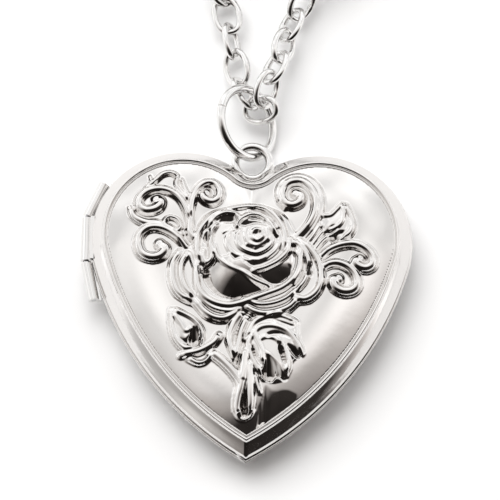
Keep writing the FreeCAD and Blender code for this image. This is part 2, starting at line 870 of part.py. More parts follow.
def upright_rod(name, spot, radius, length):
    """A round rod through the clasp, centred on its middle plane at this spot."""
    rod = document.addObject("Part::Cylinder", name)
    bind(rod, "Radius", radius)
    bind(rod, "Height", length)
    rod.Placement = in_clasp(spot - Vector(0, 0, length.number / 2))
    return rod


def clasp_body():
    thick = size("clasp_thick")
    hook_centre = in_clasp(Vector(size("hook_x").number, 0, 0))
    hook = torus("hook", size("hook_radius"), size("hook_wire"), hook_centre, HOOK_START, HOOK_STOP)
    corner = in_clasp(Vector(BLOCK_BACK, -BLOCK_WIDTH / 2, -thick.number / 2))
    block = box("clasp_block", as_size(BLOCK_LENGTH), as_size(BLOCK_WIDTH), thick, corner)
    eye_spot = Vector(EYE_X, 0, 0)
    eye = upright_rod("clasp_eye", eye_spot, as_size(EYE_RADIUS), as_size(EYE_THICK))
    solid = fuse("clasp_blank", [hook, block, eye])

    corner = in_clasp(SLOT_CORNER)
    slot = box("lever_slot", as_size(SLOT_LENGTH), as_size(SLOT_WIDTH), as_size(SLOT_HEIGHT), corner)
    eye_hole = upright_rod("clasp_eye_hole", eye_spot, as_size(EYE_HOLE_RADIUS), as_size(BORE_LENGTH))
    bore = upright_rod("pivot_bore", PIVOT_SPOT, size("pivot_radius"), as_size(BORE_LENGTH))
    room = fuse("clasp_room", [slot, eye_hole, bore])
    return cut("clasp_body", solid, room)


def clasp_lever():
    """The sprung gate: an arc that closes the hook, with a thumb lug."""
    hook_centre = in_clasp(Vector(size("hook_x").number, 0, 0))
    wire = as_size(GATE_THICK / 2)
    arm = torus("lever_arm", size("hook_radius"), wire, hook_centre, LEVER_START, LEVER_STOP)
    boss = upright_rod("lever_boss", PIVOT_SPOT, as_size(GATE_THICK), as_size(GATE_THICK))
    corner = in_clasp(LUG_CORNER)
    lug = box("lever_lug", as_size(LUG_LENGTH), as_size(LUG_WIDTH), as_size(GATE_THICK), corner)
    solid = fuse("lever_blank", [arm, boss, lug])
    turning = size("pivot_radius") + size("running_gap")
    bore = upright_rod("lever_bore", PIVOT_SPOT, turning, as_size(BORE_LENGTH))
    return cut("clasp_lever", solid, bore)


def clasp_pivot():
    pin = upright_rod("clasp_pivot_rod", PIVOT_SPOT, size("pivot_radius"), size("clasp_thick"))
    return labelled(pin, "clasp_pivot")


def clasp_spring():
    """A small leaf spring on the floor of the slot that bears on the lever's heel."""
    strip = as_size(SPRING_STRIP)
    width = as_size(SPRING_WIDTH)
    corner = in_clasp(SPRING_CORNER)
    leaf = box("spring_leaf", as_size(SPRING_LENGTH), strip, width, corner)
    foot = box("spring_foot", strip, as_size(SPRING_FOOT), width, corner)
    return fuse("clasp_spring", [leaf, foot])


def tilted_ring(name, radius, wire, centre, turn, tilt):
    """A closed ring leaning by tilt from flat, about the horizontal line at turn."""
    lean = Rotation(Vector(cosine(turn), sine(turn), 0), tilt)
    loop = torus(f"{name}_loop", as_size(radius), as_size(wire), Placement(centre, lean))
    return labelled(loop, name)


# each ring's radius, wire radius, middle, and the turn and tilt it leans at
CLASP_RING = (1.5, 0.25, Vector(5.10, 48.80, 1.33), 64.5, 45.0)
END_RING = (1.7, 0.33, Vector(-2.09, 50.08, 1.60), 96.0, 50.0)


def clasp_parts():
    clasp_ring = tilted_ring("clasp_ring", *CLASP_RING)
    end_ring = tilted_ring("end_ring", *END_RING)
    return [clasp_body(), clasp_lever(), clasp_pivot(), clasp_spring(), clasp_ring, end_ring]


# ---------------------------------------------------------------- build, check and write

nodes = [back_cover(), front_cover()]
nodes += back_fittings()
nodes += front_fittings()
nodes.append(tip_catch())
nodes += hinge()
nodes += [bail(), jump_ring()]
nodes += chain()
nodes += clasp_parts()
document.recompute()

for thing in document.Objects:
    if "Invalid" in thing.State or "Error" in thing.State:
        raise RuntimeError(f"{thing.Name} failed: {thing.State}")
for node in nodes:
    if node.Shape.isNull() or not node.Shape.isValid():
        raise RuntimeError(f"{node.Label} has no valid shape")
    print(f"{node.Label:24s} {len(node.Shape.Solids):3d} solids {node.Shape.Volume:9.3f} mm3")

os.makedirs("parts", exist_ok=True)
for node in nodes:
    node.Shape.exportStep(f"parts/{node.Label}.step")
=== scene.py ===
"""Looks of the heart locket: a stamped front cover, fine cable chain, plated metal and a pale studio."""
import math
import bpy
import numpy as np
from mathutils import Matrix, Vector


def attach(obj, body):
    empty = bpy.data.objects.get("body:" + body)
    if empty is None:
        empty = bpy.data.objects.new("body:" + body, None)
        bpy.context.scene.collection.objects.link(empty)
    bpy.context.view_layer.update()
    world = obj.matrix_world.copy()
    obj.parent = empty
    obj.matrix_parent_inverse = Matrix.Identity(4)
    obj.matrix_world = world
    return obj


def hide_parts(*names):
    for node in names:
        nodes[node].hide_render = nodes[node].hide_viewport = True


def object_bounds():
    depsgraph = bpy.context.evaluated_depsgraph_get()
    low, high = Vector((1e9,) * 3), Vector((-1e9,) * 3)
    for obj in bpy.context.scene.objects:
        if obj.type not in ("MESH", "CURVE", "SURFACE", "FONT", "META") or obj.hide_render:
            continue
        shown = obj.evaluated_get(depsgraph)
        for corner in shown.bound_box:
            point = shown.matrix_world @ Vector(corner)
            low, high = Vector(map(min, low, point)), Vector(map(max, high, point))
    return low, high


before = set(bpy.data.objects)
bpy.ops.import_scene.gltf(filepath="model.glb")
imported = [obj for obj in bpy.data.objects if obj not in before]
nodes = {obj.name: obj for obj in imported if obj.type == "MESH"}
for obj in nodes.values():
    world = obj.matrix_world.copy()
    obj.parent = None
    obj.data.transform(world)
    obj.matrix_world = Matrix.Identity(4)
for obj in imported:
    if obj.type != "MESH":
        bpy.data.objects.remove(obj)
cad_low, cad_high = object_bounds()
MM = 0.001


# ---------------- small helpers

def link_object(thing):
    bpy.context.scene.collection.objects.link(thing)
    return thing


def mesh_object(name, points, faces):
    """A smooth-shaded mesh from points in millimetres."""
    mesh = bpy.data.meshes.new(name)
    mesh.from_pydata([tuple(point) for point in np.asarray(points) * MM], [], faces)
    mesh.update()
    mesh.polygons.foreach_set("use_smooth", [True] * len(mesh.polygons))
    return link_object(bpy.data.objects.new(name, mesh))


def ring_faces(rings, count, base=0, joined=True):
    """Faces between rings of points that follow each other, and back to the first if joined."""
    faces = []
    for row in range(rings if joined else rings - 1):
        here = base + row * count
        there = base + (row + 1) % rings * count
        for step in range(count):
            after = (step + 1) % count
            faces.append((here + step, here + after, there + after, there + step))
    return faces


def curve_through(points, steps):
    """Catmull-Rom points through a list of points."""
    points = np.asarray(points, float)
    padded = np.vstack([2 * points[0] - points[1], points, 2 * points[-1] - points[-2]])
    out = []
    for number in range(1, len(padded) - 2):
        before, start, stop, after = padded[number - 1:number + 3]
        for t in np.arange(steps) / steps:
            out.append(0.5 * (
                2 * start + (stop - before) * t
                + (2 * before - 5 * start + 4 * stop - after) * t ** 2
                + (3 * start - before - 3 * stop + after) * t ** 3
            ))
    out.append(points[-1])
    return np.array(out)


# ---------------- materials

def new_material(name, colour, metallic, roughness):
    material = bpy.data.materials.new(name)
    material.use_nodes = True
    shader = material.node_tree.nodes["Principled BSDF"]
    shader.inputs["Base Color"].default_value = (*colour, 1)
    shader.inputs["Metallic"].default_value = metallic
    shader.inputs["Roughness"].default_value = roughness
    return material, material.node_tree, shader


# most of a noise texture's values lie between these
NOISE_LOW = 0.35
NOISE_HIGH = 0.65
TONE_SCALE = 140
WEAR_SCALE = 900


def node(tree, kind, **values):
    """A new shader node, with values for its inputs by name."""
    made = tree.nodes.new("ShaderNode" + kind)
    for name, value in values.items():
        made.inputs[name.replace("_", " ")].default_value = value
    return made


def noise(tree, scale, detail, stretch=(1, 1, 1)):
    """Noise that stays with the piece, in its own coordinates."""
    place = node(tree, "TexCoord")
    mapping = node(tree, "Mapping", Scale=stretch)
    pattern = node(tree, "TexNoise", Scale=scale, Detail=detail)
    tree.links.new(place.outputs["Object"], mapping.inputs["Vector"])
    tree.links.new(mapping.outputs["Vector"], pattern.inputs["Vector"])
    return pattern


def ranged(tree, pattern, low, high):
    """The pattern's values, spread from low to high."""
    span = node(tree, "MapRange", From_Min=NOISE_LOW, From_Max=NOISE_HIGH, To_Min=low, To_Max=high)
    tree.links.new(pattern.outputs["Fac"], span.inputs["Value"])
    return span.outputs["Result"]


def bumped(tree, shader, pattern, depth):
    bump = node(tree, "Bump", Strength=1.0, Distance=depth)
    tree.links.new(pattern.outputs["Fac"], bump.inputs["Height"])
    tree.links.new(bump.outputs["Normal"], shader.inputs["Normal"])


def tinted(tree, shader, pattern, first, second):
    mix = node(tree, "Mix")
    mix.data_type = "RGBA"
    mix.inputs["A"].default_value = (*first, 1)
    mix.inputs["B"].default_value = (*second, 1)
    tree.links.new(pattern.outputs["Fac"], mix.inputs["Factor"])
    tree.links.new(mix.outputs["Result"], shader.inputs["Base Color"])


def silver(name, tones, roughness, ripple, scale):
    """Bright plating: faint tone drift, roughness that varies, and a very slight ripple."""
    material, tree, shader = new_material(name, tones[0], 1.0, roughness[0])
    tinted(tree, shader, noise(tree, TONE_SCALE, 3), *tones)
    worn = ranged(tree, noise(tree, WEAR_SCALE, 5), *roughness)
    tree.links.new(worn, shader.inputs["Roughness"])
    bumped(tree, shader, noise(tree, scale, 2), ripple)
    return material


SHELL_TONES = ((0.80, 0.785, 0.77), (0.76, 0.74, 0.725))
WIRE_TONES = ((0.84, 0.83, 0.82), (0.79, 0.78, 0.77))
FITTING_TONES = ((0.82, 0.81, 0.80), (0.77, 0.76, 0.75))
INNER_TONES = ((0.86, 0.85, 0.84), (0.80, 0.79, 0.78))
PLATED = silver("plated shell", SHELL_TONES, (0.05, 0.09), ripple=6e-6, scale=420)
RELIEF = silver("plated relief", SHELL_TONES, (0.04, 0.08), ripple=5e-6, scale=700)
WIRE = silver("plated wire", WIRE_TONES, (0.07, 0.12), ripple=5e-6, scale=1500)
CHAIN = silver("plated chain", WIRE_TONES, (0.08, 0.14), ripple=6e-6, scale=1800)
FITTING = silver("plated fittings", FITTING_TONES, (0.08, 0.14), ripple=7e-6, scale=1300)
INNER = silver("satin inside", INNER_TONES, (0.22, 0.32), ripple=8e-6, scale=2500)


def drawn_steel():
    material, tree, shader = new_material("drawn steel", (0.60, 0.60, 0.61), 1.0, 0.25)
    streaks = noise(tree, scale=3000, detail=3, stretch=(1, 0.04, 1))
    tinted(tree, shader, streaks, (0.66, 0.66, 0.67), (0.52, 0.52, 0.53))
    tree.links.new(ranged(tree, streaks, low=0.18, high=0.34), shader.inputs["Roughness"])
    bumped(tree, shader, streaks, depth=8e-6)
    return material


def clear_film():
    """So thin that it bends no light: mostly see-through, with a faint gloss and smudges."""
    material, tree, shader = new_material("clear film", (0.97, 0.98, 0.98), 0.0, 0.08)
    shader.inputs["Alpha"].default_value = 0.16
    shader.inputs["IOR"].default_value = 1.46
    smudge = noise(tree, scale=260, detail=5)
    tree.links.new(ranged(tree, smudge, low=0.05, high=0.16), shader.inputs["Roughness"])
    bumped(tree, shader, smudge, depth=4e-6)
    return material


def blank_card():
    material, tree, shader = new_material("blank card", (0.90, 0.88, 0.84), 0.0, 0.8)
    fibres = noise(tree, scale=1600, detail=8)
    tinted(tree, shader, fibres, (0.93, 0.915, 0.88), (0.84, 0.82, 0.78))
    tree.links.new(ranged(tree, fibres, low=0.7, high=0.9), shader.inputs["Roughness"])
    bumped(tree, shader, fibres, depth=2e-5)
    return material


STEEL = drawn_steel()
FILM = clear_film()
CARD = blank_card()


def paint(thing, material):
    thing.data.materials.clear()
    thing.data.materials.append(material)


LOOKS = (
    (PLATED, ("back_cover",)),
    (INNER, ("back_bezel", "front_bezel")),
    (FILM, ("back_window", "front_window")),
    (CARD, ("back_card", "front_card")),
    (FITTING, ("tip_catch", "hinge_knuckle_upper", "hinge_knuckle_middle", "hinge_knuckle_lower",
        "clasp_body", "clasp_lever")),
    (STEEL, ("hinge_pin", "clasp_pivot", "clasp_spring")),
    (WIRE, ("bail", "jump_ring", "clasp_ring", "end_ring")),
)
for material, names in LOOKS:
    for name in names:
        paint(nodes[name], material)


# ---------------- chain

# The part's route, in millimetres: from the jump ring to the coil, round it, and in to a fitting.
COIL_CENTRE = np.array([1.0, 48.6])
COIL_OUTER = 16.2
COIL_STEP = 2.3
COIL_TURNS = 2.33
SPIRAL_POINTS_PER_TURN = 14
# first angle, way round (1 is anticlockwise) and height
LEFT_COIL = (226.0, -1, 1.05)
RIGHT_COIL = (314.0, 1, 3.15)
LEFT_RUN = (
    (0.60, 17.95, 2.2), (-0.60, 18.95, 1.62), (-1.40, 21.2, 1.32), (-2.00, 24.0, 1.35),
    (-2.45, 27.0, 1.10), (-3.50, 30.0, 1.05), (-6.30, 32.9, 1.05),
)
RIGHT_RUN = (
    (0.60, 17.95, 2.2), (0.85, 19.05, 3.05), (1.67, 21.3, 2.75), (2.55, 24.1, 2.05),
    (3.38, 27.0, 1.45), (4.80, 29.7, 1.95), (7.90, 32.7, 3.00),
)
LEFT_TAIL = ((1.60, 59.3, 1.05), (5.40, 58.0, 1.10), (7.30, 54.6, 1.20), (6.18, 51.05, 1.25))
RIGHT_TAIL = ((0.60, 59.1, 3.00), (-2.30, 57.4, 2.30), (-2.34, 52.64, 1.50))
# the link that hangs in the jump ring, where the strands meet
TURN_LINK_WAY = (1.87, -0.1, 1.2)
TURN_LINK_ROLL = 20
LINK_LENGTH = 3.75
LINK_WIDTH = 2.7
LINK_WIRE = 0.275
SIDE_BOW = 0.82
SEAM_SWELLING = 0.14
SEAM_WIDTH = 0.16
SEAM_ANGLE = 1.5 * math.pi
# points round a link and round its wire
SEEN_DETAIL = (44, 14)
PUT_AWAY_DETAIL = (20, 8)
# links up to this Y are near the heart and get more points
SEEN_REACH = 31.0
# spacing of the links, distance from the turn link to the first, and their rolls in degrees
LEFT_PITCH = 2.54
RIGHT_PITCH = 2.3
LEFT_FIRST_GAP = 2.3
RIGHT_FIRST_GAP = 1.9
LEFT_ROLLS = (52, -35, 60, 0)
COMMON_ROLLS = (45, 135)


def spiral(first, way, height):
    """Points of a strand's turns, from the outside of the coil inwards."""
    count = round(COIL_TURNS * SPIRAL_POINTS_PER_TURN)
    points = []
    for number in range(count + 1):
        turned = COIL_TURNS * number / count
        angle = math.radians(first + way * 360 * turned)
        radius = COIL_OUTER - COIL_STEP * turned
        spot = COIL_CENTRE + radius * np.array([math.cos(angle), math.sin(angle)])
        points.append((spot[0], spot[1], height))
    return points


def centreline(name, points):
    """The strand's line, read from a smooth curve with these control points, in millimetres."""
    curve = bpy.data.curves.new(name, "CURVE")
    curve.dimensions = "3D"
    curve.resolution_u = 24
    spline = curve.splines.new("NURBS")
    spline.points.add(len(points) - 1)
    for control, point in zip(spline.points, points):
        control.co = (*(Vector(point) * MM), 1)
    spline.order_u = 3
    spline.use_endpoint_u = True
    holder = link_object(bpy.data.objects.new(name, curve))
    line = bpy.data.meshes.new_from_object(holder)
    spots = np.array([vertex.co[:] for vertex in line.vertices]) / MM
    bpy.data.objects.remove(holder)
    bpy.data.meshes.remove(line)
    bpy.data.curves.remove(curve)
    return spots


def link_template(around, across):
    """Rings of points of one oval link, lying flat and long in X, with a small solder swelling."""
    bend = LINK_WIDTH / 2 - LINK_WIRE
    straight = LINK_LENGTH / 2 - LINK_WIRE - bend
    rings = []
    for number in range(around):
        angle = 2 * math.pi * number / around
        flow = np.array([math.cos(angle), math.sin(angle)])
        # the sides bow out a little, as bent wire does
        middle = np.array([
            (bend + straight) * flow[0],
            bend * np.sign(flow[1]) * abs(flow[1]) ** SIDE_BOW,
        ])
        away = np.array([flow[0] / (bend + straight), flow[1] / bend])
        away /= np.linalg.norm(away)
        seam = 1 + SEAM_SWELLING * math.exp(-((angle - SEAM_ANGLE) / SEAM_WIDTH) ** 2)
        ring = []
        for step in range(across):
            turn = 2 * math.pi * step / across
            reach = LINK_WIRE * seam * math.cos(turn)
            ring.append((*(middle + away * reach), LINK_WIRE * seam * math.sin(turn)))
        rings.append(ring)
    return np.array(rings)


def link_axes(along, roll):
    """Rows of a link's own axes: along the strand, across, and out of its face."""
    along = np.asarray(along, float)
    along /= np.linalg.norm(along)
    side = np.cross((0, 0, 1), along)
    side /= np.linalg.norm(side)
    up = np.cross(along, side)
    roll = math.radians(roll)
    across = side * math.cos(roll) + up * math.sin(roll)
    return np.array([along, across, np.cross(along, across)])


def links_mesh(name, places):
    """All links of a strand in one mesh. places are (spot, direction, roll, seen)."""
    points = []
    faces = []
    for spot, along, roll, seen in places:
        around, across = SEEN_DETAIL if seen else PUT_AWAY_DETAIL
        rings = link_template(around, across)
        base = len(points)
        points.extend((rings.reshape(-1, 3) @ link_axes(along, roll)) + spot)
        faces += [(a, d, c, b) for a, b, c, d in ring_faces(around, across, base)]
    return mesh_object(name, points, faces)


def strand(side, run, coil, tail, pitch, first_gap, rolls):
    """Links along one strand, placed by length so that the last one ends exactly on its fitting."""
    line = centreline(f"line_{side}", list(run) + spiral(*coil) + list(tail))
    steps = np.linalg.norm(np.diff(line, axis=0), axis=1)
    travelled = np.concatenate([[0], np.cumsum(steps)])
    total = travelled[-1]
    count = round((total - first_gap) / pitch)
    pitch = (total - first_gap) / count
    places = []
    for number in range(count + 1):
        where = min(first_gap + pitch * number, total)
        spot = np.array([np.interp(where, travelled, line[:, axis]) for axis in range(3)])
        segment = min(max(int(np.searchsorted(travelled, where)) - 1, 0), len(steps) - 1)
        along = line[segment + 1] - line[segment]
        roll = rolls[number] if number < len(rolls) else COMMON_ROLLS[number % 2]
        places.append((spot, along, roll, spot[1] < SEEN_REACH))
    return places, line, total


left_places, left_line, left_total = strand(
    "left", LEFT_RUN, LEFT_COIL, LEFT_TAIL, LEFT_PITCH, LEFT_FIRST_GAP, LEFT_ROLLS
)
right_places, right_line, right_total = strand(
    "right", RIGHT_RUN, RIGHT_COIL, RIGHT_TAIL, RIGHT_PITCH, RIGHT_FIRST_GAP, ()
)
turn_spot = np.array(LEFT_RUN[0])
left_places.insert(0, (turn_spot, TURN_LINK_WAY, TURN_LINK_ROLL, True))
left_chain = links_mesh("chain_strand_left", left_places)
right_chain = links_mesh("chain_strand_right", right_places)
STRANDS = (
    (left_chain, left_line, left_total, ("chain_left_links", "chain_coil_lower"),
     ("clasp_body", "clasp_lever", "clasp_pivot", "clasp_spring", "clasp_ring")),
    (right_chain, right_line, right_total, ("chain_right_links", "chain_coil_upper"), ("end_ring",)),
)
for chain, line, total, stood_for, fittings in STRANDS:
    paint(chain, CHAIN)
    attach(chain, "case_back")
    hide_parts(*stood_for)
    print(chain.name, "length", round(total, 1), "mm,", len(line), "path points")


# ---------------- heart outline, as in the part

# centre and radius of each arc
LOBE = (5.9, 5.5, 8.2)
SIDE = (-14.674, 11.013, 29.5)
CLEFT = (0.0, 12.559, 1.0)
LOBE_TO_CLEFT = math.atan2(CLEFT[1] - LOBE[1], CLEFT[0] - LOBE[0])
SIDE_TO_LOBE = math.atan2(LOBE[1] - SIDE[1], LOBE[0] - SIDE[0])
CLEFT_TO_LOBE = math.atan2(LOBE[1] - CLEFT[1], LOBE[0] - CLEFT[0])
CLEFT_POINTS, LOBE_POINTS, SIDE_POINTS = 20, 110, 90
# the side arc is followed to this angle, past the tip, and each arc a little past its ends
PAST_TIP = -1.3
ANGLE_SLACK = 0.01
FAR = 99.0
OUTSIDE = -1.0


def arc(centre, radius, start, stop, count):
    angle = np.linspace(start, stop, count, endpoint=False)
    return np.column_stack([centre[0] + radius * np.cos(angle), centre[1] + radius * np.sin(angle)])


def outline(inset):
    """Points of the heart drawn in by an inset, in millimetres, clockwise from the cleft."""
    side_radius = SIDE[2] - inset
    tip = -math.acos(-SIDE[0] / side_radius)
    right = np.vstack([
        arc(CLEFT, CLEFT[2] + inset, -math.pi / 2, CLEFT_TO_LOBE, CLEFT_POINTS),
        arc(LOBE, LOBE[2] - inset, LOBE_TO_CLEFT, SIDE_TO_LOBE, LOBE_POINTS),
        arc(SIDE, side_radius, SIDE_TO_LOBE, tip, SIDE_POINTS),
        [[0, SIDE[1] + side_radius * math.sin(tip)]],
    ])
    left = right[-2:0:-1] * (-1, 1)
    return np.vstack([right, left])


def inset_of(x, y):
    """How far inside the heart's edge each point lies, or OUTSIDE where no arc faces it."""
    x = np.abs(x)
    best = np.full(x.shape, FAR)

    def consider(centre, value, start, stop):
        angle = np.arctan2(y - centre[1], x - centre[0])
        fits = (angle >= start - ANGLE_SLACK) & (angle <= stop + ANGLE_SLACK)
        return np.where(fits, np.minimum(best, value), best)

    best = consider(LOBE, LOBE[2] - np.hypot(x - LOBE[0], y - LOBE[1]), SIDE_TO_LOBE, LOBE_TO_CLEFT)
    best = consider(SIDE, SIDE[2] - np.hypot(x - SIDE[0], y - SIDE[1]), PAST_TIP, SIDE_TO_LOBE)
    best = consider(CLEFT, np.hypot(x - CLEFT[0], y - CLEFT[1]) - CLEFT[2], -math.pi / 2, CLEFT_TO_LOBE)
    return np.where(best < FAR, best, OUTSIDE)


# ---------------- front cover: rolled rim

BASE = 2.45
# inset and height of the rim's foot, groove, shoulder and sloping band, from the outside in
OUTER_SECTION = (
    (0.52, BASE), (0.12, BASE), (0.07, 2.49), (0.07, 2.61), (0.10, 2.66), (0.20, 2.68),
    (0.24, 2.72), (0.22, 2.76), (0.17, 2.80), (0.165, 2.98), (0.20, 3.07), (0.32, 3.21),
    (0.52, 3.46), (0.72, 3.70), (0.90, 3.905), (1.03, 4.035), (1.09, 4.10), (1.14, 4.17),
)
# and of its inside, from the plate down
INNER_SECTION = ((1.66, 3.95), (1.50, 3.84), (1.2, 3.80), (0.85, 3.55), (0.6, 3.0))
# inset, radius and height of the bold bead and of the fine one inside it
BEADS = ((1.29, 0.14, 4.28), (1.58, 0.085, 4.22))
BEAD_STEPS = 8
# the bent middle line of the knuckles, its height, and the radius of the notch round it
HINGE_LINE = np.array([(-12.9, 10.6), (-14.27, 7.5), (-14.27, 3.4), (-13.5, -0.1)])
HINGE_HEIGHT = 2.4
HINGE_ROOM = 0.53


def rim_profile():
    """Inset and height round the rim's closed section, from the outer foot over the beads."""
    section = list(OUTER_SECTION)
    for centre, radius, height in BEADS:
        for step in range(BEAD_STEPS + 1):
            angle = math.radians(180 - 180 * step / BEAD_STEPS)
            section.append((centre + radius * math.cos(angle), height + radius * math.sin(angle)))
    return section + list(INNER_SECTION)


def clear_of_hinge(points):
    """Moves points that lie in the hinge's round notch out to its wall."""
    points = points.copy()
    for start, stop in zip(HINGE_LINE[:-1], HINGE_LINE[1:]):
        start = np.array([*start, HINGE_HEIGHT])
        stop = np.array([*stop, HINGE_HEIGHT])
        way = stop - start
        share = np.clip((points - start) @ way / (way @ way), 0, 1)
        nearest = start + share[:, None] * way
        away = points - nearest
        distance = np.linalg.norm(away, axis=1)
        inside = distance < HINGE_ROOM
        points[inside] = nearest[inside] + away[inside] / distance[inside, None] * HINGE_ROOM
    return points


def rim():
    """The rim's section, carried round the heart."""
    section = rim_profile()
    loops = [np.column_stack([outline(inset), np.full(len(outline(inset)), height)])
             for inset, height in section]
    return clear_of_hinge(np.vstack(loops)), ring_faces(len(loops), len(loops[0]))


# ---------------- front cover: stamped relief
# Every list below is in millimetres on the cover, in the part's frame. Curves run through the points.
# ridge, in SCROLLS and ROSE_LIPS: name, half width at its root and at its end, height, points
# petal: name, middle with its height, radius of its swelling to the left, to the right and along Y, outline
# cut in the rose: name, slope of its floor, height over the rose's bed, outline
# cut in the plate: name, slope of its floor, outline
# bulge: name, height, width of its rounded edge, outline

